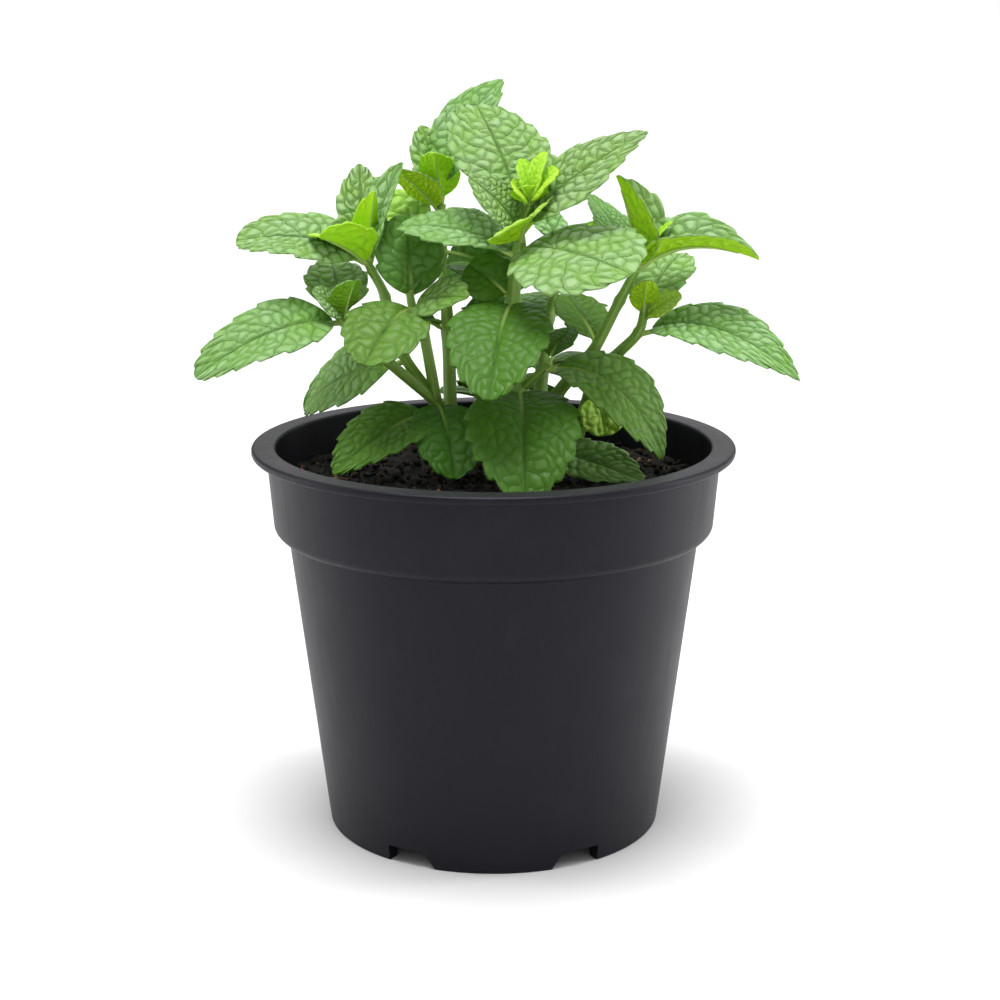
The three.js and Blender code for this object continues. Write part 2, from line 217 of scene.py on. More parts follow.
def turned(profile, steps):
    """A profile of (radius, height) in millimetres spun about the Z axis into a closed bmesh"""
    bm = bmesh.new()
    line = [bm.verts.new((radius * MM, 0, height * MM)) for radius, height in profile]
    edges = [bm.edges.new(pair) for pair in zip(line, line[1:])]
    bmesh.ops.spin(bm, geom=line + edges, axis=(0, 0, 1), cent=(0, 0, 0), angle=2 * math.pi,
                   steps=steps, use_merge=True)
    bmesh.ops.remove_doubles(bm, verts=bm.verts, dist=WELD)
    bmesh.ops.recalc_face_normals(bm, faces=bm.faces)
    return bm


def pot_profile():
    """The pot's section, from the middle of its underside out and up, over the rim and down inside"""
    edge = RIM_EDGE
    rim_under = POT_HEIGHT - RIM_THICKNESS
    foot_inner = FOOT_RADIUS - FOOT_RING_WIDTH
    collar_out = COLLAR_FOOT_RADIUS - STEP_RADIUS
    return [
        (0, FLOOR_UNDERSIDE),
        (foot_inner, FLOOR_UNDERSIDE),
        *quarter(foot_inner + FOOT_EDGE, FOOT_EDGE, FOOT_EDGE, FOOT_EDGE, 180, 270, 3),
        *quarter(FOOT_RADIUS - FOOT_EDGE, FOOT_EDGE, FOOT_EDGE, FOOT_EDGE, 270, 360, 3),
        *quarter(STEP_RADIUS, STEP_HEIGHT + COLLAR_FILLET, collar_out, COLLAR_FILLET, 270, 360, 8),
        (NECK_RADIUS, rim_under),
        *quarter(RIM_RADIUS - edge, rim_under + edge, edge, edge, 270, 360),
        *quarter(RIM_RADIUS - edge, POT_HEIGHT - edge, edge, edge, 0, 90),
        *quarter(RIM_INNER_RADIUS + edge, POT_HEIGHT - edge, edge, edge, 90, 180),
        (COLLAR_FOOT_RADIUS - WALL, STEP_HEIGHT + COLLAR_FILLET),
        (STEP_RADIUS - WALL, STEP_HEIGHT),
        (FOOT_RADIUS - WALL, FLOOR_TOP),
        (0, FLOOR_TOP),
    ]


def pot_cutters():
    """The six notches and the six drain holes beside them, as one bmesh of separate blocks"""
    bm = bmesh.new()
    inner = FOOT_RADIUS - FOOT_RING_WIDTH - CUTTER_REACH
    depth = FOOT_RING_WIDTH + 3 * CUTTER_REACH
    tall = NOTCH_HEIGHT + CUTTER_REACH
    for index in range(NOTCH_COUNT):
        turn = 2 * math.pi * index / NOTCH_COUNT
        front_side = -1 if math.cos(turn) > 0 else 1
        block = bmesh.ops.create_cube(bm, size=1)["verts"]
        for vert in block:
            low = vert.co.z < 0
            slant = NOTCH_SLANT * front_side if low and vert.co.y * front_side > 0 else 0
            out = inner + depth * (vert.co.x + 0.5)
            across = NOTCH_WIDTH * vert.co.y + slant
            vert.co = Vector((out, across, NOTCH_HEIGHT - tall if low else NOTCH_HEIGHT)) * MM
        bmesh.ops.rotate(bm, verts=block, cent=(0, 0, 0), matrix=Matrix.Rotation(turn, 3, "Z"))
        centre = (DRAIN_HOLE_CIRCLE * math.cos(turn), DRAIN_HOLE_CIRCLE * math.sin(turn),
                  (FLOOR_UNDERSIDE + FLOOR_TOP) / 2)
        bmesh.ops.create_cone(bm, cap_ends=True, segments=DRAIN_HOLE_SIDES,
                              radius1=DRAIN_HOLE_RADIUS * MM, radius2=DRAIN_HOLE_RADIUS * MM,
                              depth=4 * CUTTER_REACH * MM, matrix=Matrix.Translation(Vector(centre) * MM))
    bmesh.ops.recalc_face_normals(bm, faces=bm.faces)
    return bm


def maths(add, operation, a, b=0.0, c=0.0):
    """One Math node's result"""
    return add("ShaderNodeMath", {0: a, 1: b, 2: c}, operation=operation).outputs[0]


def product(add, total, *factors):
    """Values multiplied with each other"""
    for factor in factors:
        total = maths(add, "MULTIPLY", total, factor)
    return total


def weighed(add, total, *parts):
    """A total with parts added to it, each a value and its weight"""
    for value, weight in parts:
        total = maths(add, "MULTIPLY_ADD", value, weight, total)
    return total


def ranged(add, value, low, high, to_low=0.0, to_high=1.0):
    """A value eased from one range to another, held at its ends"""
    sockets = {"Value": value, "From Min": low, "From Max": high, "To Min": to_low, "To Max": to_high}
    return add("ShaderNodeMapRange", sockets, interpolation_type="SMOOTHSTEP").outputs[0]


def noise_of(add, place, scale, detail=2.0, roughness=0.5):
    """Noise from 0 to 1 over a place"""
    sockets = {"Vector": place, "Scale": scale, "Detail": detail, "Roughness": roughness}
    return add("ShaderNodeTexNoise", sockets).outputs["Fac"]


def bumped(add, height, strength, distance):
    """The normal of a surface bumped by a height"""
    return add("ShaderNodeBump", {"Height": height, "Strength": strength, "Distance": distance}).outputs[0]


def moulded_plastic():
    """Satin charcoal plastic: a faint mould grain, soft scuffs, fine scratches and a few specks of dust"""
    material, shader, add = node_material("charcoal_plastic", PLASTIC_GLOSS)
    place = add("ShaderNodeTexCoord").outputs["Object"]
    grain = noise_of(add, place, *MOULD_GRAIN)
    cloud = noise_of(add, place, *SCUFF_CLOUDS)
    stretched = add("ShaderNodeMapping", {"Vector": place, "Scale": SCRATCH_STRETCH}).outputs[0]
    scratches = noise_of(add, stretched, *SCRATCHES)
    speck = add("ShaderNodeTexVoronoi", {"Vector": place, "Scale": DUST_SCALE}, feature="F1").outputs
    chosen = maths(add, "GREATER_THAN", speck["Color"], DUST_RARITY)
    near = maths(add, "LESS_THAN", speck["Distance"], DUST_SIZE)
    colour = mixed(add, ranged(add, cloud, *SCUFFED), CHARCOAL, CHARCOAL_WORN)
    colour = mixed(add, product(add, chosen, near, DUST_COVER), colour, DUST)
    add.link(colour, shader.inputs["Base Color"])
    rough = weighed(add, PLASTIC_ROUGHNESS, (scratches, SCRATCH_ROUGHNESS), (cloud, SCUFF_ROUGHNESS))
    add.link(rough, shader.inputs["Roughness"])
    height = weighed(add, product(add, grain, GRAIN_RISE), (scratches, SCRATCH_RISE))
    add.link(bumped(add, height, *PLASTIC_BUMP), shader.inputs["Normal"])
    return material


pot = finished(turned(pot_profile(), POT_STEPS), "pot_shell", [moulded_plastic()])
cutters = finished(pot_cutters(), "pot_cutters", [])
cut = pot.modifiers.new("notches_and_drain_holes", "BOOLEAN")
cut.operation = "DIFFERENCE"
cut.solver = "EXACT"
cut.object = cutters
bpy.context.view_layer.update()
pot_mesh = bpy.data.meshes.new_from_object(pot.evaluated_get(bpy.context.evaluated_depsgraph_get()))
pot.modifiers.clear()
pot.data = pot_mesh
bpy.data.objects.remove(cutters)
pot.data.set_sharp_from_angle(angle=math.radians(SHARP_ANGLE))
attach(pot, "root")
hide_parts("pot")

# Soil: damp black peat compost that fills the pot to below the rim. Its top is crumbly, with twigs, chips
# of bark and a few white grains of perlite lying on it.
SOIL_LEVEL = 109.2
SOIL_GAP = 0.3
SOIL_EDGE_GAIN = 0.2
SOIL_TOP_BAND = 0.01
SOIL_STEPS = 150
SOIL_RING_PITCH = 0.9
LUMP_SCALE = 0.42
LUMP_NOISE = (0.9, 2.1, 4)
LUMP_HEIGHT = 0.75
CRUMB_COUNT = 1500
CRUMB_REACH = 65.5
CRUMB_RADII = (0.45, 1.5)
CRUMB_FINENESS = 3
CRUMB_STRETCH = (0.7, 1.2)
CRUMB_SINK = 0.35
CRUMB_TILT = 0.6
CRUMB_UNEVENNESS = 0.16
ANY_TURN = 6.28
BARK_SHARE = 0.06
PERLITE_RADII = (0.45, 0.8)
PERLITE = [(-27, -55), (-21, -58), (-9, -52), (-33, -47), (3, -58), (30, -50), (-47, -30), (44, -38)]
BARK_RADII = (1.2, 2.1)
BARK_FLATNESS = 0.5
BARK = [(53, -14), (47, -24), (41, -35), (58, -2), (-50, -19), (-40, -41), (55, 14), (36, -46), (-56, 3)]
TWIGS = [
    # middle x, middle y, azimuth, length, radius
    (-51, -8, 15, 14, 0.55), (-56, -17, -30, 11, 0.5), (-43, -33, 60, 9, 0.45), (50, -30, 130, 8, 0.4),
    (-30, -50, 160, 8, 0.4), (58, -8, 75, 7, 0.4), (12, -60, 20, 9, 0.4), (-60, 8, 100, 10, 0.5),
]
TWIG_POINTS = 7
TWIG_SIDES = 8
TWIG_BEND = 0.08
TWIG_LIFT = 1.0
TWIG_KINK = 0.5
TWIG_TIP = 0.6
PEAT = (0.004, 0.004, 0.0025, 1)
PEAT_DRY = (0.03, 0.02, 0.013, 1)
BARK_DARK = (0.09, 0.045, 0.022, 1)
BARK_PALE = (0.42, 0.25, 0.13, 1)
PERLITE_WHITE = (0.72, 0.7, 0.66, 1)
CRUMBLY_GLOSS = 0.25
MOTTLE = (5, 0.65)
MOTTLED = (0.42, 0.72)
CRACKS = (4, 0.7)
CRACK_FINENESS = 4
CRUMBLY_BUMP = (0.7, 0.0004)
PEAT_FINISH, TWIG_FINISH, PERLITE_FINISH, CHIP_FINISH = range(4)
chance = random.Random(7)


def soil_height(x, y):
    """The height of the soil's surface: the CAD soil's formula of broad swell and crumbs, and fine lumps"""
    broad = 0.7 * math.sin(0.13 * x + 0.8) * math.cos(0.11 * y - 0.4)
    crumbs = 0.5 * math.sin(0.43 * x - 0.31 * y) + 0.4 * math.cos(0.37 * y + 0.52 * x)
    lumps = noise.fractal(Vector((x, y, 0)) * LUMP_SCALE, *LUMP_NOISE)
    return SOIL_LEVEL + broad + crumbs + LUMP_HEIGHT * lumps


def soil_body():
    """The block of soil, which keeps a small gap to the pot and has its top in fine rings"""
    edge = COLLAR_FOOT_RADIUS - WALL + SOIL_EDGE_GAIN - SOIL_GAP
    rings = int(edge / SOIL_RING_PITCH)
    bm = turned([
        (0, FLOOR_TOP + SOIL_GAP),
        (FOOT_RADIUS - WALL - SOIL_GAP, FLOOR_TOP + SOIL_GAP),
        (STEP_RADIUS - WALL - SOIL_GAP, STEP_HEIGHT),
        (COLLAR_FOOT_RADIUS - WALL - SOIL_GAP, STEP_HEIGHT + COLLAR_FILLET),
        *[(edge * ring / rings, SOIL_LEVEL) for ring in range(rings, -1, -1)],
    ], SOIL_STEPS)
    for vert in bm.verts:
        if vert.co.z > (SOIL_LEVEL - SOIL_TOP_BAND) * MM:
            vert.co.z = soil_height(vert.co.x / MM, vert.co.y / MM) * MM
    return bm


def add_crumb(bm, x, y, radius, finish, flatness=1.0):
    """One lumpy grain that lies half sunk in the soil"""
    size = [radius * chance.uniform(*CRUMB_STRETCH) for _ in range(3)]
    size[2] *= flatness
    place = Matrix.Translation(Vector((x, y, soil_height(x, y) + size[2] * CRUMB_SINK)) * MM)
    turn = Matrix.Rotation(chance.uniform(0, ANY_TURN), 4, "Z")
    turn = turn @ Matrix.Rotation(chance.uniform(-CRUMB_TILT, CRUMB_TILT), 4, "X")
    grain = bmesh.ops.create_icosphere(bm, subdivisions=1, radius=MM,
                                       matrix=place @ turn @ Matrix.Diagonal((*size, 1)))["verts"]
    for vert in grain:
        uneven = [chance.uniform(-CRUMB_UNEVENNESS, CRUMB_UNEVENNESS) for _ in range(3)]
        vert.co += Vector(uneven) * radius * MM
    for face in {face for vert in grain for face in vert.link_faces}:
        face.material_index = finish


def tube(bm, points, radii, sides, finish, layers=None, aim=(0, 1, 0), square=0.0):
    """A closed tube through points in millimetres, tapered ring by ring and a little squared"""
    rings = len(points) - 1
    points = np.array(points, float)
    tangents = np.gradient(points, axis=0)
    tangents /= np.linalg.norm(tangents, axis=1)[:, None]
    aim = np.array(aim, float)
    verts = bmesh.ops.create_grid(bm, x_segments=rings, y_segments=sides, size=1)["verts"]
    for vert in verts:
        ring = round((vert.co.x + 1) / 2 * rings)
        turn = (vert.co.y + 1) * math.pi
        depth = aim - tangents[ring] * float(aim @ tangents[ring])
        depth /= np.linalg.norm(depth)
        across = np.cross(tangents[ring], depth)
        size = radii[ring] * (1 + square * math.cos(4 * turn))
        spot = points[ring] + (across * math.sin(turn) + depth * math.cos(turn)) * size
        vert.co = Vector(spot) * MM
        if layers:
            vert[layers["vein"]] = (ring / rings, math.cos(4 * turn), 0)
    seam = [vert for vert in verts if vert.is_boundary]
    bmesh.ops.remove_doubles(bm, verts=seam, dist=WELD)
    verts = [vert for vert in verts if vert.is_valid]
    rims = [edge for edge in bm.edges if edge.is_boundary]
    bmesh.ops.holes_fill(bm, edges=rims, sides=0)
    faces = list({face for vert in verts for face in vert.link_faces})
    bmesh.ops.recalc_face_normals(bm, faces=faces)
    for face in faces:
        face.material_index = finish


def add_twig(bm, x, y, azimuth, length, radius):
    """A thin bent twig that lies on the soil"""
    along = Vector((math.cos(math.radians(azimuth)), math.sin(math.radians(azimuth)), 0))
    line, radii = [], []
    last = TWIG_POINTS - 1
    for step in range(TWIG_POINTS):
        share = step / last - 0.5
        bend = Vector((-along.y, along.x, 0)) * (1 - 4 * share * share) * length * TWIG_BEND
        spot = Vector((x, y, 0)) + along * length * share + bend
        spot.z = SOIL_LEVEL + TWIG_LIFT + radius + TWIG_KINK * chance.random()
        line.append(spot)
        radii.append(radius * (TWIG_TIP if step in (0, last) else 1))
    tube(bm, line, radii, TWIG_SIDES, TWIG_FINISH)


def crumbly(name, dark, pale, scale, roughness):
    """A dull broken surface, mottled from dark to pale"""
    constants = {"Roughness": roughness, "Specular IOR Level": CRUMBLY_GLOSS}
    material, shader, add = node_material(name, constants)
    place = add("ShaderNodeTexCoord").outputs["Object"]
    mottle = ranged(add, noise_of(add, place, scale, *MOTTLE), *MOTTLED)
    add.link(mixed(add, mottle, dark, pale), shader.inputs["Base Color"])
    cracks = noise_of(add, place, scale * CRACK_FINENESS, *CRACKS)
    add.link(bumped(add, cracks, *CRUMBLY_BUMP), shader.inputs["Normal"])
    return material


soil_mesh = soil_body()
for _ in range(CRUMB_COUNT):
    reach = CRUMB_REACH * math.sqrt(chance.random())
    turn = chance.uniform(0, 2 * math.pi)
    radius = CRUMB_RADII[0] + (CRUMB_RADII[1] - CRUMB_RADII[0]) * chance.random() ** CRUMB_FINENESS
    finish = TWIG_FINISH if chance.random() < BARK_SHARE else PEAT_FINISH
    add_crumb(soil_mesh, reach * math.cos(turn), reach * math.sin(turn), radius, finish)
for x, y in PERLITE:
    add_crumb(soil_mesh, x, y, chance.uniform(*PERLITE_RADII), PERLITE_FINISH)
for x, y in BARK:
    add_crumb(soil_mesh, x, y, chance.uniform(*BARK_RADII), CHIP_FINISH, BARK_FLATNESS)
for twig in TWIGS:
    add_twig(soil_mesh, *twig)
soil = finished(soil_mesh, "peat_soil", [
    crumbly("peat", PEAT, PEAT_DRY, 330, 0.85),
    crumbly("twig_bark", BARK_DARK, BARK_PALE, 700, 0.75),
    crumbly("perlite", PERLITE_WHITE, PERLITE_WHITE, 900, 0.8),
    crumbly("bark_chip", BARK_DARK, BARK_PALE, 450, 0.8),
])
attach(soil, "root")
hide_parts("soil")

# Leafy stems: square mint stems whose leaves stand in crossed pairs at the nodes. A blade is quilted
# between its veins, toothed along its edge and paler underneath, and fine hairs stand on stem and blade.
PLANT = {
    # path: a branch's nodes in millimetres; radius: at its foot and at its top; a leaf's row: its node on
    # the path, azimuth, reach, rise, width, roll, arch as a share of its length, fold and length of stalk
    "leafy_stem_centre": [
        {
            "path": [[9, 2, SOIL_LEVEL], [8, 2, 137], [6, 1, 165], [8, 2, 181], [8, 3, 187], [11, 3, 194]],
            "radius": [2.5, 1.3],
            "leaves": [
                [1, 272, 42, -25, 34, 0, 0.16, 12, 5],
                [1, 118, 28, -4, 24, 0, 0.1, 12, 4],
                [2, 260, 42, -23, 31, 0, 0.11, 12, 5],
                [2, 112, 34, 8, 28, 0, 0.08, 12, 4],
                [2, 168, 14, 11, 18, -50, 0.1, 12, 4],
                [2.8, 166, 38, 8, 29, -14, 0.1, 12, 4],
                [3, 317, 44, -4, 41, 22, 0.07, 4, 3],
                [3.2, 290, 13, 9.5, 26, 28, 0.1, 12, 2],
                [3.8, 195, 16, 17, 15, -50, 0.1, 12, 3],
                [4, 4, 39, 29, 27, 24, 0.06, 10, 4],
                [4.4, 117, 32, 33, 34, 0, 0.05, 12, 4],
                [5, 30, 6, 16, 11, 0, 0.1, 12, 2],
                [5, 140, 4, 14, 10, 0, 0.1, 12, 2],
                [5, 350, 9, 11, 13, 25, 0.1, 12, 2],
                [4.9, 200, 6, 8, 11, -30, 0.1, 12, 2],
                [4.9, 285, 4, 7, 12, 0, 0.1, 12, 2],
            ],
        },
        {
            "path": [[8, 2, 137], [17, -1, 146]],
            "radius": [1.4, 1.1],
            "leaves": [
                [0.85, 349, 37, -27, 28, 25, 0.24, 12, 4],
                [1, 42, 10, 10, 13, 0, 0.1, 12, 3],
            ],
        },
    ],
    "leafy_stem_left": [
        {
            "path": [[-17, 12, SOIL_LEVEL], [-18, 11, 132]],
            "radius": [2.3, 2.0],
            "leaves": [
                [1, 283, 28, -19, 23, 0, 0.1, 12, 4],
                [0.85, 226, 44, -13, 23, -20, 0.1, 12, 7],
            ],
        },
        {
            "path": [[-18, 11, 132], [-22, 9, 155], [-25, 8, 162], [-26, 8, 167]],
            "radius": [1.7, 1.1],
            "leaves": [
                [2, 246, 33, -13, 26, -12, 0.12, 12, 3],
                [2, 312, 26, 6, 17, 40, 0.08, 12, 3],
                [2.3, 100, 12, 26, 22, 0, 0.05, 12, 3],
                [3, 30, 4, 4, 4, 0, 0.1, 12, 1],
            ],
        },
        {
            "path": [[-18, 11, 132], [-29, 12, 148], [-34, 14, 165], [-38, 14, 173], [-41, 14, 179]],
            "radius": [1.7, 1.1],
            "leaves": [
                [0.8, 146, 42, -20, 26, -48, 0.12, 12, 5],
                [3.3, 180, 41, 7, 29, -23, 0.13, 12, 4],
                [3.2, 50, 16, 31, 19, -8, 0.06, 30, 3],
                [3.3, 225, 20, 10, 23, 18, 0.06, 27, 2],
                [3.3, 300, 5, 23, 13, 0, 0.06, 42, 3],
                [3.9, 96, 19, 26, 16, 0, 0.06, 12, 3],
            ],
        },
        {
            "path": [[-18, 11, 132], [-34, 4, 147], [-46, 0, 159], [-48, 0, 162]],
            "radius": [1.7, 1.1],
            "leaves": [
                [2, 198, 46, -15, 29, -23, 0.12, 12, 4],
                [2.2, 99, 31, 14, 20, 0, 0.08, 12, 3],
                [2, 205, 10, 10, 13, -35, 0.08, 12, 2],
                [2, 315, 6, 13, 13, 0, 0.08, 25, 2],
            ],
        },
    ],
    "leafy_stem_upper_right": [
        {
            "path": [[15, 16, SOIL_LEVEL], [19, 12, 132], [30, 8, 147], [39, 5, 165], [44, 4, 175]],
            "radius": [2.2, 1.2],
            "leaves": [
                [0.3, 320, 40, -5.5, 20, 22, 0.02, 12, 4],
                [4, 164, 7, 28, 27, 0, 0.06, 48, 2],
                [4, 354, 37, 3, 27, 10, 0.16, 38, 2],
                [4, 125, 26, 21, 14, 0, 0.06, 12, 4],
                [4, 11, 11, 14, 9, 0, 0.06, 12, 2],
                [4, 47, 5, 15, 9, 0, 0.06, 12, 2],
            ],
        },
    ],
    "leafy_stem_lower_right": [
        {
            "path": [[24, 20, SOIL_LEVEL], [31, 17, 134], [38, 12, 146], [45, 6, 155], [47, 6, 164]],
            "radius": [2.2, 1.2],
            "leaves": [
                [1, 302, 7, -13, 18, 0, 0.12, 12, 3],
                [1.6, 121, 24, 21, 19, 0, 0.08, 12, 12],
                [2.85, 339, 52, -11, 27, 20, 0.19, 12, 6],
                [3.6, 60, 26, 16, 21, 0, 0.08, 12, 3],
                [3.4, 350, 12, 8, 12, 30, 0.08, 12, 2],
                [3.5, 280, 4, 12, 9, 0, 0.08, 12, 2],
            ],
        },
    ],
    "leafy_stem_back_left": [
        {
            "path": [[-14, 37, SOIL_LEVEL], [-15, 40, 150], [-17, 42, 176], [-17, 42, 191]],
            "radius": [2.2, 1.2],
            "leaves": [
                [1, 200, 21, 5, 20, 0, 0.12, 12, 4],
                [1, 345, 28, 2, 24, 50, 0.1, 12, 4],
                [2, 90, 24, 2, 22, 0, 0.1, 12, 4],
                [2, 340, 24, -6, 26, 55, 0.08, 12, 4],
                [2.2, 165, 22, 10, 20, -45, 0.1, 12, 6],
                [2.8, 210, 16, 14, 15, 20, 0.06, 12, 3],
                [3, 27, 22, 39, 28, 10, 0.12, 12, 8],
                [3, 114, 17, 24, 16, 0, 0.06, 12, 3],
                [3, 260, 11, 17, 14, 0, 0.06, 20, 3],
            ],
        },
    ],
    "leafy_stem_back_right": [
        {
            "path": [[14, 38, SOIL_LEVEL], [16, 40, 138], [18, 42, 154], [21, 44, 167], [23, 46, 174]],
            "radius": [2.2, 1.1],
            "leaves": [
                [1, 75, 28, -8, 24, 0, 0.12, 12, 4],
                [1, 15, 28, -2, 18, 0, 0.1, 12, 4],
                [2, 130, 26, 3, 24, 0, 0.1, 12, 4],
                [2, 35, 22, 2, 18, 0, 0.1, 12, 4],
                [3, 60, 26, 8, 22, 0, 0.1, 12, 4],
                [3, 205, 15, 8, 16, 0, 0.1, 12, 4],
                [4, 140, 14, 16, 16, 0, 0.06, 12, 3],
                [4, 325, 14, 12, 16, 0, 0.06, 12, 3],
                [4, 50, 5, 8, 8, 0, 0.1, 12, 1],
            ],
        },
    ],
    "leafy_stem_back_low": [
        {
            "path": [[0, 48, SOIL_LEVEL], [0, 50, 124], [0, 52, 134]],
            "radius": [1.8, 1.1],
            "leaves": [
                [1, 5, 22, 3, 18, 0, 0.1, 12, 3],
                [1, 188, 18, 4, 16, 0, 0.1, 12, 3],
                [2, 95, 14, 8, 14, 0, 0.1, 12, 2],
                [2, 275, 12, 8, 12, 0, 0.1, 12, 2],
                [2, 20, 5, 8, 7, 0, 0.1, 12, 1],
            ],
        },
    ],
}
# how old each leaf looks, in the order of the table above: 0 for a bud leaf, 1 for a dark lowest leaf. Some
# leaves that sit in the shade of others are set older, so part of their darker green is painted shade
AGES_AND_SHADE = {
    "leafy_stem_centre": [
        [0.95, 1, 0.97, 0.86, 1, 0.54, 0.5, 0.1, 0.3, 0.4, 0.45, 0, 0, 0, 0, 0],
        [0.78, 1],
    ],
    "leafy_stem_left": [
        [0.95, 0.9],
        [0.8, 0.7, 0.8, 0.6],
        [0.68, 0.45, 0.5, 0, 0, 0.3],
        [0.62, 0.7, 0.5, 0.5],
    ],
    "leafy_stem_upper_right": [[0.68, 0.3, 0.4, 0.5, 0, 0]],
    "leafy_stem_lower_right": [[0.1, 1, 0.52, 0.45, 0.1, 0.35]],
    "leafy_stem_back_left": [[0.9, 1, 0.9, 1, 0.15, 0.3, 0.5, 0.3, 0]],
    "leafy_stem_back_right": [[1, 0.9, 0.9, 0.85, 0.75, 0.8, 0.4, 0.4, 0.1]],
    "leafy_stem_back_low": [[0.9, 0.9, 0.7, 0.6, 0.2]],
}
# the blade: its thickness, outline and teeth
BLADE_THICKNESS = 0.42
BLADE_TOP = 0.4
PETIOLE_HALF_WIDTH = 0.9
MIDRIB_CONTROL = 0.4
BASE_FULLNESS = 0.6
NARROWEST_TIP = 1.5
TIP_ROUNDING = 1.4
BLUNT_TIP = 0.5
SHARP_TIP = 0.9
FEWEST_TEETH = 3
MOST_TEETH = 8
TOOTH_SPACING = 7.0
TOOTH_DEPTH = 0.038
TOOTH_RISE = 1.5
TOOTH_SINK = 0.6
TOOTH_BELLY = 0.75
TOOTH_RIM = 9
END_EASE = 8
MARGIN_CURL = 0.12
MARGIN_WAVE = 0.022
WAVE_TURNS = 8
WAVE_HAND = 1.7
# the blade's grid, and how its rows lean from the midrib to the margin
GRID_PITCH = 0.62
SMALL_GRID_PITCH = 0.45
SMALL_BLADE = 15.0
FEWEST_ROWS = 5
FEWEST_COLUMNS = 6
MIDRIB_CROWDING = 1.1
MARGIN_CROWDING = 1.9
LEAN_EVEN = 0.55
LEAN_LATE = 0.45
LEAN_POWER = 2.2
UNDER_SIDE = -0.5
GRID_END = 0.999
# the side veins and the quilted cells between them
VEIN_CROWDING = 0.8
SMALL_VEIN_CROWDING = 1.4
VEIN_ACROSS = 0.77
VEIN_ALONG = 0.64
VEIN_SWAY = 0.16
SWAY_TURNS = 5
SWAY_HAND = 2.4
VEIN_WOBBLES = [
    # depth, turns a cell, turns of the leaf's seed
    (0.1, 2.6, 2),
    (0.06, 6.1, 1),
]
HAND_SHIFT = 17.3
CELL = 4.1
SMALL_CELL = 2.2
CELLS_NEAR = [(row, step) for row in (0, 1) for step in (-1, 0, 1)]
FAR_AWAY = 9.0
CELL_STAGGER = 0.5
CELL_SCATTER = 0.27
SCATTER_TURNS = 12.0
SCATTER_ROW = 12.9
SCATTER_PLACE = 7.7
SOFT_WALL = 0.62
SOFT_VEIN = 0.4
QUILT_YOUNG = 1.35
QUILT_OLD = 0.3
HALF_PILLOW = 0.45
PILLOW_START = 0.9
PILLOW_END = 8
PILLOW_END_DEPTH = 0.8
CHANNEL_DEPTH = 0.5
CHANNEL_WIDTH = 0.8
# the stems, the stalk and midrib under each blade, and the hairs
STEM_SIDES = 24
STEM_SQUARENESS = 0.08
STEM_TONE = 0.5
RINGS_A_NODE = 10
KNEE_SWELLING = 0.22
KNEE_LENGTH = 0.09
LOWEST_KNEE = 0.5
FOOT_DEPTH = 6.0
MIDRIB_REACH = 0.86
MIDRIB_POINTS = 16
MIDRIB_SIDES = 8
MIDRIB_RADIUS = 0.3
MIDRIB_GAIN = 0.022
MIDRIB_TAPER = 0.8
MIDRIB_POINT = 0.05
MIDRIB_BITE = 0.4
STALK_DROP = 0.05
HAIR_ROOT = 0.045
HAIR_POINT = 0.008
HAIR_LEAN = 0.35
STEM_HAIRS_A_MM = 5.0
STEM_HAIRS = (0.4, 0.95)
STEM_HAIR_RISE = 0.15
STEM_HAIR_SINK = 0.92
EDGE_HAIRS_A_MM = 2.2
EDGE_HAIRS = (0.25, 0.6)
EDGE_HAIR_RISE = 0.2
EDGE_HAIR_SPAN = (0.04, 0.97)
# the green tissues and their finish
LEAF_YOUNG = (0.44, 0.74, 0.03, 1)
LEAF_FRESH = (0.18, 0.40, 0.025, 1)
LEAF_OLD = (0.055, 0.16, 0.006, 1)
# painted shade: the dark green laid into the hollows at the cell walls and along the creased veins of the
# upper blade
LEAF_PAINTED_SHADE = (0.02, 0.085, 0.003, 1)
# painted sheen: a pale whitish green laid over the upper blade, most on the cell tops, standing in for the
# soft highlight of the overhead light
LEAF_PAINTED_SHEEN = (0.33, 0.50, 0.26, 1)
UNDER_LEAF = (0.44, 0.76, 0.02, 1)
VEIN_PALE = (0.45, 0.62, 0.16, 1)
STEM_GREEN = (0.17, 0.33, 0.04, 1)
STEM_PALE = (0.33, 0.46, 0.13, 1)
STEM_PURPLE = (0.14, 0.15, 0.035, 1)
HAIR_WHITE = (0.75, 0.82, 0.66, 1)
LEAF_GLOW = {"Subsurface Radius": (0.45, 1.0, 0.08), "Subsurface Scale": 0.0005}
UPPER_SKIN = {"Specular IOR Level": 0.22, "Subsurface Weight": 0.1, **LEAF_GLOW}
UNDER_SKIN = {"Specular IOR Level": 0.1, "Subsurface Weight": 0.35, **LEAF_GLOW}
STEM_SKIN = {
    "Roughness": 0.45,
    "Specular IOR Level": 0.25,
    "Subsurface Weight": 0.2,
    "Subsurface Radius": (0.4, 1.0, 0.15),
    "Subsurface Scale": 0.001,
}
UPPER_ROUGHNESS = 0.38
UNDER_ROUGHNESS = 0.5
PATCH_ROUGHNESS = 0.15
UPPER_BUMP = (1.0, 0.00042)
UNDER_BUMP = (1.0, -0.0003)
# lines of the veins by the distance from them, and what each adds to the bump
MIDRIB_LINE = (0.12, 0.35, 1.0, 0.0)
WIDE_MIDRIB = (0.3, 0.75, 1.0, 0.0)
BESIDE_MIDRIB = (0.2, 1.3)
SIDE_VEIN_LINE = (0.0, 0.07, 1.0, 0.0)
NET_LINE = (0.0, 0.12, 1.0, 0.0)
FINE_LINE = (0.0, 0.2, 1.0, 0.0)
FINE_NET_SCALE = 900
LEAF_PATCHES = (110, 3, 0.6)
LEAF_GRIT = (2600, 2, 0.6)
VEIN_RISE = -0.5
NET_RISE = -0.35
FINE_RISE = -0.1
GRIT_RISE = 0.14
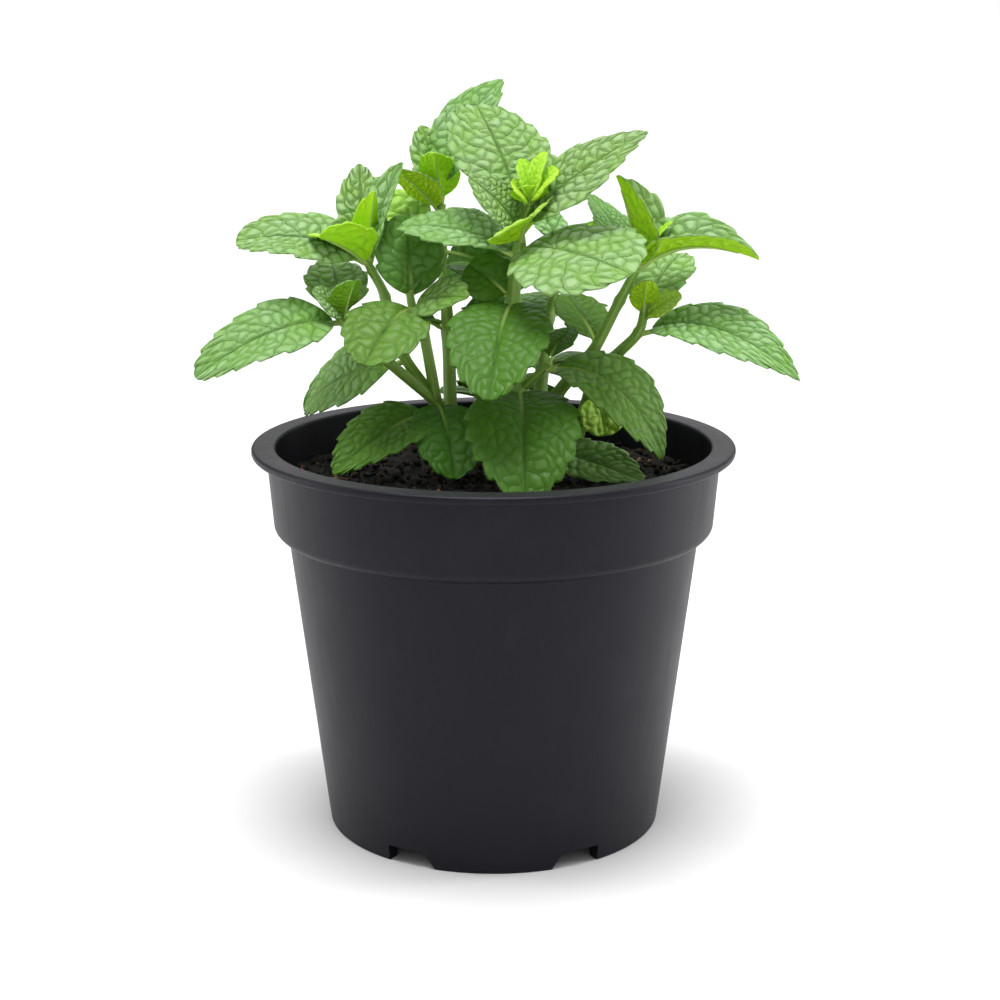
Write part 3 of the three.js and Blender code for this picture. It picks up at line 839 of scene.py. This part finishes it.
# eased ranges by a leaf's age, by the share of its length and by its patches
AGE_FRESH = (0.0, 0.35)
AGE_OLD = (0.35, 1.0)
# painted shade in the hollows between the cells: how strong it is, by age and along the blade
PAINTED_SHADE_STRENGTH = 0.75
GROOVE_SHADE_BY_YOUTH = (0.0, 0.25, 0.15, 1.0)
GROOVE_SHADE_BY_AGE = (0.3, 1.0, 1.0, 0.3)
GROOVE_SHADE_ALONG = (0.5, 0.95, 0.55, 0.22)
UNEVEN_PATCHES = (0.35, 0.65, 0.5, 1.0)
# painted shade along the creases of the net and the side veins: how strong it is
VEINS_BY_YOUTH = (0.0, 0.25, 0.2, 1.0)
VEIN_SHADE = 0.6
NET_SHADE = 0.3
# painted sheen: how much pale highlight is laid between the cells and on their tops, and how it fades by
# patches, by age and along the blade
PAINTED_SHEEN_BETWEEN = 0.55
PAINTED_SHEEN_ON_CELL_TOPS = 0.45
PAINTED_SHEEN_PATCHES = (0.3, 0.7, 0.45, 1.0)
PAINTED_SHEEN_BY_YOUTH = (0.0, 0.3, 0.15, 0.85)
PAINTED_SHEEN_BY_AGE = (0.5, 0.9, 1.0, 0.04)
PAINTED_SHEEN_ALONG = (0.0, 0.4, 0.5, 1.0)
MIDRIB_ALONG = (0.05, 0.6, 0.9, 0.0)
MIDRIB_BY_AGE = (0.5, 0.9)
UNDER_BY_AGE = (0.38, 0.52, 0.75, 0.12)
UNDER_NET = 0.1
UNDER_VEINS = 0.5
BUMP_BY_YOUTH = (0.0, 0.25, 0.3, 1.0)
BUMP_BY_AGE = (0.3, 1.0, 1.0, 0.35)
HUE_MIDDLE = 0.49
HUE_LUCK = 0.02
# the skin of stems and stalks, and the hairs
RIDGE_PALENESS = (0.2, 1.0, 0.0, 0.7)
FLUSH_CLOUDS = (120, 3)
FLUSHED = (0.5, 0.75, 0.0, 0.5)
FLUSH_BY_HEIGHT = (0.12, 0.17, 1.0, 0.25)
STALK_PALENESS = 0.75
STEM_GRAIN = (900, 3)
STEM_BUMP = (0.4, 0.0003)
HAIR_CLOUD_SCALE = 500
HAIR_TINTED = (0.3, 0.7)
HAIR_FINISH = {"Roughness": 0.5}
UPPER, UNDER, STALK, HAIR = range(4)


def on_curve(path, at):
    """A point of the smooth line through a path, at a share of its length counted in nodes"""
    spans = len(path) - 1
    span = min(int(at * spans), spans - 1)
    t = at * spans - span
    ends = [np.array(p, float) for p in path]
    before = ends[span - 1] if span > 0 else 2 * ends[0] - ends[1]
    after = ends[span + 2] if span + 2 <= spans else 2 * ends[-1] - ends[-2]
    p1, p2 = ends[span], ends[span + 1]
    v1, v2 = (p2 - before) / 2, (after - p1) / 2
    return (2 * p1 - 2 * p2 + v1 + v2) * t ** 3 + (3 * p2 - 3 * p1 - 2 * v1 - v2) * t ** 2 + v1 * t + p1


def unit(vector):
    """Vectors brought to a length of one"""
    return vector / np.linalg.norm(vector, axis=-1, keepdims=True)


def in_cell(band, wall):
    """How far points lie from the wall of their quilted cell, and from the nearest side vein. Two rows
    of cells fill the strip between two side veins, and a point is in the cell with the nearest middle"""
    strip, place = 2 * np.floor(band / 2), np.floor(wall)
    nearest, second = np.full(band.shape, FAR_AWAY), np.full(band.shape, FAR_AWAY)
    for row, step in CELLS_NEAR:
        turn = SCATTER_TURNS * np.sin(SCATTER_ROW * (strip + row) + SCATTER_PLACE * (place + step))
        middle_band = strip + row + 0.5 + CELL_SCATTER * np.sin(turn)
        middle_wall = place + step + 0.5 + CELL_STAGGER * (row - 0.5) + CELL_SCATTER * np.cos(turn)
        far = np.hypot(band - middle_band, wall - middle_wall)
        second = np.minimum(second, np.maximum(nearest, far))
        nearest = np.minimum(nearest, far)
    return second - nearest, np.minimum(band - strip, strip + 2 - band)


class Leaf:
    """The lines that a leaf is built on: its arched midrib, and the directions across and above it"""

    def __init__(self, foot, azimuth, reach, rise, width, roll, arch, fold, petiole):
        turn, tilt = math.radians(azimuth), math.radians(roll)
        chord = np.array([reach * math.cos(turn), reach * math.sin(turn), rise])
        self.length = float(np.linalg.norm(chord))
        forward = chord / self.length
        level = unit(np.array([0, 0, 1.0]) - forward * forward[2])
        self.normal = level * math.cos(tilt) + np.cross(forward, level) * math.sin(tilt)
        self.side = np.cross(forward, self.normal)
        self.foot, self.tip = foot, foot + chord
        self.bend = foot + MIDRIB_CONTROL * chord + self.normal * 2 * arch * self.length
        self.width, self.fold = width, math.radians(fold)
        self.breadth = width / self.length * math.cos(self.fold) ** 2
        self.start = petiole / self.length
        self.teeth = max(FEWEST_TEETH, min(MOST_TEETH, round(self.length / TOOTH_SPACING)))
        small = width <= SMALL_BLADE
        self.cell = SMALL_CELL if small else CELL
        self.veins = self.teeth * (SMALL_VEIN_CROWDING if small else VEIN_CROWDING)
        pitch = SMALL_GRID_PITCH if small else GRID_PITCH
        rows_a_tooth = max(FEWEST_ROWS, round((self.length - petiole) / self.teeth / pitch))
        self.rows = self.teeth * rows_a_tooth
        self.columns = 2 * max(FEWEST_COLUMNS, round(width / 2 / pitch))
        self.tooth_lean = 1 - 1 / rows_a_tooth

    def middle(self, t):
        """Points of the arched midrib"""
        t = np.asarray(t, float)[..., None]
        return (1 - t) ** 2 * self.foot + 2 * t * (1 - t) * self.bend + t ** 2 * self.tip

    def above(self, t):
        """Directions that stand up from the blade at points of its midrib"""
        t = np.asarray(t, float)[..., None]
        tangent = (1 - t) * (self.bend - self.foot) + t * (self.tip - self.bend)
        return unit(np.cross(self.side, tangent))

    def outline(self, share):
        """Half the blade's width without its teeth"""
        taper = min(SHARP_TIP, max(BLUNT_TIP, NARROWEST_TIP - TIP_ROUNDING * self.breadth))
        peak = BASE_FULLNESS / (BASE_FULLNESS + taper)
        shape = share ** BASE_FULLNESS * (1 - share) ** taper
        return self.width / 2 * shape / (peak ** BASE_FULLNESS * (1 - peak) ** taper)

    def teeth_at(self, q):
        """How far the teeth stand out past the outline, or are cut into it"""
        saw = q * self.teeth % 1
        rising = np.clip(saw / self.tooth_lean, 0, 1) ** TOOTH_BELLY
        saw = np.where(saw < self.tooth_lean, rising, (1 - saw) / (1 - self.tooth_lean))
        return TOOTH_DEPTH * self.width * (TOOTH_RISE * saw - TOOTH_SINK)

    def among_veins(self, q, v, out, share, seed):
        """Where points lie between the side veins, counted in half strips, and along them in cells"""
        edge, hand = np.abs(v), np.sign(v)
        reached = VEIN_ACROSS * out + VEIN_ALONG * share * self.length
        wall = reached / self.cell + HAND_SHIFT * hand
        sway = np.sin(seed + SWAY_TURNS * q + SWAY_HAND * hand * edge ** 0.5)
        band = 2 * (q * self.veins - self.tooth_lean + VEIN_SWAY * sway)
        for depth, cell_turns, seed_turns in VEIN_WOBBLES:
            band = band + depth * np.sin(cell_turns * wall + seed_turns * seed)
        return band, wall

    def surface(self, q, v, w, seed, age):
        """Blade points for rows q, columns v and faces w, and where each lies among the veins"""
        edge, hand = np.abs(v), np.sign(v)
        inner, margin = q ** MIDRIB_CROWDING, 1 - (1 - q) ** MARGIN_CROWDING
        lean = LEAN_EVEN * edge + LEAN_LATE * edge ** LEAN_POWER
        share = np.clip(inner + (margin - inner) * lean, 0, 1)
        along = self.start + (1 - self.start) * share
        ends = np.clip(np.minimum(q, 1 - q) * END_EASE, 0, 1)
        half = np.maximum(self.outline(share), PETIOLE_HALF_WIDTH * (q < 0.5))
        across = v * half + hand * edge ** TOOTH_RIM * (self.teeth_at(q) * ends)
        out = np.abs(across)
        band, wall = self.among_veins(q, v, out, share, seed)
        to_wall, to_vein = in_cell(band, wall)
        rise = [np.clip(to_wall / SOFT_WALL, 0, 1), np.clip(to_vein / SOFT_VEIN, 0, 1)]
        pillow = np.sqrt(rise[0] * (2 - rise[0]) * rise[1] * (2 - rise[1]))
        quilt = (QUILT_YOUNG + (QUILT_OLD - QUILT_YOUNG) * age) * (self.cell / CELL) ** 2
        past_midrib = 1 - np.exp(-(out / PILLOW_START) ** 2)
        before_margin = 1 - PILLOW_END_DEPTH * edge ** PILLOW_END
        puff = quilt * (pillow - HALF_PILLOW) * past_midrib * before_margin * ends
        channel = CHANNEL_DEPTH * np.exp(-(out / CHANNEL_WIDTH) ** 2) * (1 - share)
        turns = seed + WAVE_TURNS * share + WAVE_HAND * hand
        wave = MARGIN_WAVE * self.width * edge ** 2 * np.sin(turns)
        height = out * math.sin(self.fold) - MARGIN_CURL * out * out / (self.width / 2)
        height = height + puff - channel + wave * ends
        height = height + BLADE_TOP - BLADE_THICKNESS * (1 - w)
        above = self.above(along)
        spots = self.middle(along) + self.side * (across * math.cos(self.fold))[:, None]
        return spots + above * height[:, None], np.stack([band, wall, out], axis=1), share


def sprout():
    """An empty bmesh with the two attributes that the leaf and stem materials read"""
    bm = bmesh.new()
    return bm, {name: bm.verts.layers.float_vector.new(name) for name in ("vein", "tone")}


def graft(whole, bm):
    """Adds a finished bmesh to the whole stem"""
    mesh = bpy.data.meshes.new("graft")
    bm.to_mesh(mesh)
    bm.free()
    whole.from_mesh(mesh)
    bpy.data.meshes.remove(mesh)


def add_blade(whole, leaf, tone, seed):
    """A closed thin blade: a grid and its copy below, joined round the edge, set in the leaf's form and
    turned the right side out"""
    bm, layers = sprout()
    bmesh.ops.create_grid(bm, x_segments=leaf.rows, y_segments=leaf.columns, size=1)
    copied = bmesh.ops.extrude_face_region(bm, geom=bm.faces[:], use_keep_orig=True)["geom"]
    under = [item for item in copied if isinstance(item, bmesh.types.BMVert)]
    bmesh.ops.translate(bm, verts=under, vec=(0, 0, -1))
    bmesh.ops.recalc_face_normals(bm, faces=bm.faces)
    for face in bm.faces:
        face.material_index = UNDER if face.normal.z < UNDER_SIDE else UPPER
    flat = np.array([vert.co[:] for vert in bm.verts])
    q, v, w = (flat[:, 0] + 1) / 2, flat[:, 1], flat[:, 2] + 1
    spots, veins_at, shares = leaf.surface(q, v, w, seed, tone[0])
    for vert, spot, place, share in zip(bm.verts, spots * MM, veins_at, shares):
        vert.co = spot
        vert[layers["vein"]] = place
        vert[layers["tone"]] = (tone[0], tone[1], share)
    bmesh.ops.reverse_faces(bm, faces=bm.faces[:])
    ends = [vert for vert, x in zip(bm.verts, flat[:, 0]) if abs(x) > GRID_END]
    bmesh.ops.remove_doubles(bm, verts=ends, dist=2 * WELD)
    graft(whole, bm)


def add_hairs(whole, roots, outward, lengths, tone):
    """Fine three-sided hairs that stand on the surface"""
    bm, layers = sprout()
    for root, out in zip(roots, outward):
        length = chance.uniform(*lengths)
        lean = Vector(out) + Vector([chance.uniform(-HAIR_LEAN, HAIR_LEAN) for _ in range(3)])
        turn = lean.to_track_quat("Z", "Y").to_matrix().to_4x4()
        place = Matrix.Translation(Vector(root) * MM) @ turn
        place = place @ Matrix.Translation((0, 0, length * MM / 2))
        bmesh.ops.create_cone(bm, cap_ends=True, segments=3, radius1=HAIR_ROOT * MM,
                              radius2=HAIR_POINT * MM, depth=length * MM, matrix=place)
    for vert in bm.verts:
        vert[layers["tone"]] = tone
    for face in bm.faces:
        face.material_index = HAIR
    graft(whole, bm)


def add_stalk(whole, line, radii, sides, tone, **form):
    """A green tube grafted to the whole stem: a stem, or a leaf's stalk and midrib"""
    bm, layers = sprout()
    tube(bm, line, radii, sides, STALK, layers, **form)
    for vert in bm.verts:
        vert[layers["tone"]] = tone
    graft(whole, bm)


def add_stem(whole, path, radius, tone, sunk):
    """A squared stem, swollen at its nodes and hairy, whose foot may be sunk in the soil"""
    spans = len(path) - 1
    rings = RINGS_A_NODE * spans
    points, radii = [], []
    for ring in range(rings + 1):
        share = ring / rings
        to_node = abs(share * spans - round(share * spans))
        has_knee = share * spans > LOWEST_KNEE
        knee = KNEE_SWELLING * math.exp(-(to_node / KNEE_LENGTH) ** 2) if has_knee else 0
        points.append(on_curve(path, share))
        radii.append((radius[0] + (radius[1] - radius[0]) * share) * (1 + knee))
    if sunk:
        points.insert(0, points[0] - np.array([0, 0, FOOT_DEPTH]))
        radii.insert(0, radii[0])
    add_stalk(whole, points, radii, STEM_SIDES, tone, square=STEM_SQUARENESS)
    length = sum(np.linalg.norm(b - a) for a, b in zip(points, points[1:]))
    roots, outward = [], []
    for _ in range(int(length * STEM_HAIRS_A_MM)):
        ring = chance.randrange(1, len(points) - 1)
        along = points[ring] + (points[ring + 1] - points[ring]) * chance.random()
        turn = chance.uniform(0, 2 * math.pi)
        out = np.array([math.cos(turn), math.sin(turn), STEM_HAIR_RISE])
        roots.append(along + out * radii[ring] * STEM_HAIR_SINK)
        outward.append(out)
    add_hairs(whole, roots, outward, STEM_HAIRS, tone)


def add_leaf(whole, leaf, tone, seed):
    """A leaf: its blade, the stalk and midrib below it, and hairs along its edge"""
    add_blade(whole, leaf, tone, seed)
    stop = leaf.start + (1 - leaf.start) * MIDRIB_REACH
    shares = np.linspace(0.0, stop, MIDRIB_POINTS)
    thick = MIDRIB_RADIUS + MIDRIB_GAIN * leaf.width
    radii, drops = [], []
    for share in shares:
        radius = thick * (1 - MIDRIB_TAPER * share / stop) + MIDRIB_POINT
        up_blade = max(0, (share - leaf.start) / (1 - leaf.start))
        under = BLADE_TOP - BLADE_THICKNESS - CHANNEL_DEPTH * (1 - up_blade) - MIDRIB_BITE * radius
        radii.append(radius)
        drops.append(STALK_DROP + (under - STALK_DROP) * min(1, share / leaf.start))
    middle, above = leaf.middle(shares), leaf.above(shares)
    line = [spot + up * drop for spot, up, drop in zip(middle, above, drops)]
    add_stalk(whole, line, radii, MIDRIB_SIDES, (tone[0], tone[1], 1), aim=leaf.normal)
    count = int(leaf.length * EDGE_HAIRS_A_MM)
    q = np.array([chance.uniform(*EDGE_HAIR_SPAN) for _ in range(count)])
    v = np.array([chance.choice((-1.0, 1.0)) for _ in range(count)])
    spots, _, _ = leaf.surface(q, v, np.zeros(count), seed, tone[0])
    outward = leaf.side * v[:, None] + leaf.normal * EDGE_HAIR_RISE
    add_hairs(whole, spots, outward, EDGE_HAIRS, tone)


def vein_group():
    """A blade's veins, its net of small veins and quilted cells, drawn from its own coordinates by the
    rule of in_cell, with broad patches of tone and a height for the bump"""
    group = bpy.data.node_groups.new("leaf_veins", "ShaderNodeTree")
    add = node_adder(group)
    vein = add("ShaderNodeAttribute", attribute_name="vein").outputs["Vector"]
    band, wall, out_from_midrib = add("ShaderNodeSeparateXYZ", {"Vector": vein}).outputs
    spot = add("ShaderNodeTexCoord").outputs["Object"]
    strip = product(add, maths(add, "FLOOR", product(add, band, 0.5)), 2.0)
    first_place = maths(add, "FLOOR", wall)
    nearest, second = FAR_AWAY, FAR_AWAY
    for row, step in CELLS_NEAR:
        number = maths(add, "ADD", strip, row)
        place = maths(add, "ADD", first_place, step)
        turn = weighed(add, product(add, place, SCATTER_PLACE), (number, SCATTER_ROW))
        turn = product(add, maths(add, "SINE", turn), SCATTER_TURNS)
        number = weighed(add, number, (maths(add, "SINE", turn), CELL_SCATTER))
        place = weighed(add, place, (maths(add, "COSINE", turn), CELL_SCATTER))
        stagger = 0.5 + CELL_STAGGER * (row - 0.5)
        aside = maths(add, "SUBTRACT", maths(add, "SUBTRACT", band, number), 0.5)
        beyond = maths(add, "SUBTRACT", maths(add, "SUBTRACT", wall, place), stagger)
        far = maths(add, "SQRT", weighed(add, product(add, beyond, beyond), (aside, aside)))
        second = maths(add, "MINIMUM", second, maths(add, "MAXIMUM", nearest, far))
        nearest = maths(add, "MINIMUM", nearest, far)
    to_wall = maths(add, "SUBTRACT", second, nearest)
    to_vein = maths(add, "PINGPONG", band, 1.0)
    midrib = ranged(add, out_from_midrib, *MIDRIB_LINE)
    veins = maths(add, "MAXIMUM", ranged(add, to_vein, *SIDE_VEIN_LINE), midrib)
    net = ranged(add, to_wall, *NET_LINE)
    edges = {"Vector": spot, "Scale": FINE_NET_SCALE}
    fine = add("ShaderNodeTexVoronoi", edges, feature="DISTANCE_TO_EDGE").outputs[0]
    cells = product(add, ranged(add, to_vein, 0.0, SOFT_VEIN), ranged(add, to_wall, 0.0, SOFT_WALL),
                    ranged(add, out_from_midrib, *BESIDE_MIDRIB))
    grit = noise_of(add, spot, *LEAF_GRIT)
    results = {
        "Veins": veins,
        "Midrib": ranged(add, out_from_midrib, *WIDE_MIDRIB),
        "Net": net,
        "Cells": cells,
        "Patches": noise_of(add, spot, *LEAF_PATCHES),
        "Height": weighed(add, cells, (veins, VEIN_RISE), (net, NET_RISE),
                          (ranged(add, fine, *FINE_LINE), FINE_RISE), (grit, GRIT_RISE)),
    }
    for name in results:
        group.interface.new_socket(name, in_out="OUTPUT", socket_type="NodeSocketFloat")
    add("NodeGroupOutput", results)
    return group


def blade_material(name, veins, upper):
    """Living leaf: fresh to old green by age, an age that on some shaded leaves is partly painted shade.
    Above it has painted shade in the hollows at the cell walls and along the creased veins, under a painted
    pale sheen that is brightest on the cell tops, and below it is paler along the veins"""
    material, shader, add = node_material(name, UPPER_SKIN if upper else UNDER_SKIN)
    on_blade = add("ShaderNodeGroup", node_tree=veins).outputs
    tone = add("ShaderNodeAttribute", attribute_name="tone").outputs["Vector"]
    age, luck, share = add("ShaderNodeSeparateXYZ", {"Vector": tone}).outputs
    young = mixed(add, ranged(add, age, *AGE_FRESH), LEAF_YOUNG, LEAF_FRESH)
    base = mixed(add, ranged(add, age, *AGE_OLD), young, LEAF_OLD)
    if upper:
        # painted shade: darker green in the hollows at the cell walls, where the quilt is creased
        dark = mixed(add, PAINTED_SHADE_STRENGTH, base, LEAF_PAINTED_SHADE)
        groove_shade_weight = product(add, ranged(add, age, *GROOVE_SHADE_BY_AGE), ranged(add, age, *GROOVE_SHADE_BY_YOUTH))
        uneven = ranged(add, on_blade["Patches"], *UNEVEN_PATCHES)
        groove_shade = maths(add, "SUBTRACT", 1.0, on_blade["Cells"])
        groove_shade = product(add, groove_shade, groove_shade_weight, uneven, ranged(add, share, *GROOVE_SHADE_ALONG))
        colour = mixed(add, groove_shade, base, dark)
        # painted sheen: a pale highlight colour laid over the blade, strongest on the cell tops
        painted_sheen = weighed(add, PAINTED_SHEEN_BETWEEN, (on_blade["Cells"], PAINTED_SHEEN_ON_CELL_TOPS))
        painted_sheen = product(add, painted_sheen, ranged(add, on_blade["Patches"], *PAINTED_SHEEN_PATCHES),
                        ranged(add, age, *PAINTED_SHEEN_BY_YOUTH), ranged(add, age, *PAINTED_SHEEN_BY_AGE),
                        ranged(add, share, *PAINTED_SHEEN_ALONG))
        colour = mixed(add, painted_sheen, colour, LEAF_PAINTED_SHEEN)
        # painted shade along the creases of the net and the side veins
        drawn = product(add, ranged(add, age, *VEINS_BY_YOUTH), uneven)
        colour = mixed(add, product(add, on_blade["Net"], drawn, NET_SHADE), colour, dark)
        colour = mixed(add, product(add, on_blade["Veins"], drawn, VEIN_SHADE), colour, dark)
        midrib = product(add, on_blade["Midrib"], ranged(add, share, *MIDRIB_ALONG),
                         ranged(add, age, *MIDRIB_BY_AGE))
        colour = mixed(add, midrib, colour, VEIN_PALE)
    else:
        base = mixed(add, ranged(add, age, *UNDER_BY_AGE), base, UNDER_LEAF)
        colour = mixed(add, product(add, on_blade["Net"], UNDER_NET), base, LEAF_FRESH)
        colour = mixed(add, product(add, on_blade["Veins"], UNDER_VEINS), colour, VEIN_PALE)
    hue = weighed(add, HUE_MIDDLE, (luck, HUE_LUCK))
    shift = add("ShaderNodeHueSaturation", {"Color": colour, "Hue": hue})
    add.link(shift.outputs[0], shader.inputs["Base Color"])
    rough = UPPER_ROUGHNESS if upper else UNDER_ROUGHNESS
    add.link(weighed(add, rough, (on_blade["Patches"], PATCH_ROUGHNESS)), shader.inputs["Roughness"])
    depth = product(add, on_blade["Height"], ranged(add, age, *BUMP_BY_AGE),
                    ranged(add, age, *BUMP_BY_YOUTH))
    bump = bumped(add, depth, *(UPPER_BUMP if upper else UNDER_BUMP))
    add.link(bump, shader.inputs["Normal"])
    return material


def stem_material():
    """Green stem skin with pale ridges, flushed purple in patches near the soil. Stalks are paler"""
    material, shader, add = node_material("stem_skin", STEM_SKIN)
    place = add("ShaderNodeTexCoord").outputs["Object"]
    height = add("ShaderNodeSeparateXYZ", {"Vector": place}).outputs[2]
    vein = add("ShaderNodeAttribute", attribute_name="vein").outputs["Vector"]
    ridge = add("ShaderNodeSeparateXYZ", {"Vector": vein}).outputs[1]
    tone = add("ShaderNodeAttribute", attribute_name="tone").outputs["Vector"]
    stalk = add("ShaderNodeSeparateXYZ", {"Vector": tone}).outputs[2]
    colour = mixed(add, ranged(add, ridge, *RIDGE_PALENESS), STEM_GREEN, STEM_PALE)
    flush = product(add, ranged(add, noise_of(add, place, *FLUSH_CLOUDS), *FLUSHED),
                    ranged(add, height, *FLUSH_BY_HEIGHT))
    colour = mixed(add, flush, colour, STEM_PURPLE)
    colour = mixed(add, product(add, stalk, STALK_PALENESS), colour, VEIN_PALE)
    add.link(colour, shader.inputs["Base Color"])
    grain = noise_of(add, place, *STEM_GRAIN)
    add.link(bumped(add, grain, *STEM_BUMP), shader.inputs["Normal"])
    return material


def hair_material():
    """Soft white hair with a tinge of green"""
    material, shader, add = node_material("leaf_hair", HAIR_FINISH)
    place = add("ShaderNodeTexCoord").outputs["Object"]
    tinge = ranged(add, noise_of(add, place, HAIR_CLOUD_SCALE), *HAIR_TINTED)
    add.link(mixed(add, tinge, HAIR_WHITE, VEIN_PALE), shader.inputs["Base Color"])
    return material


veins = vein_group()
stem_finishes = [
    blade_material("leaf_upper", veins, True),
    blade_material("leaf_under", veins, False),
    stem_material(),
    hair_material(),
]
for stem_name, branches in PLANT.items():
    bm, _ = sprout()
    for number, branch in enumerate(branches):
        path = branch["path"]
        add_stem(bm, path, branch["radius"], (STEM_TONE, chance.random(), 0), number == 0)
        # each leaf's age, which on some shaded leaves is partly painted shade
        for (node, *form), age in zip(branch["leaves"], AGES_AND_SHADE[stem_name][number]):
            leaf = Leaf(on_curve(path, node / (len(path) - 1)), *form)
            add_leaf(bm, leaf, (age, chance.random(), 0), chance.uniform(0, ANY_TURN))
    piece = finished(bm, stem_name + "_fine", stem_finishes)
    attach(piece, "root")
    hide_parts(stem_name)
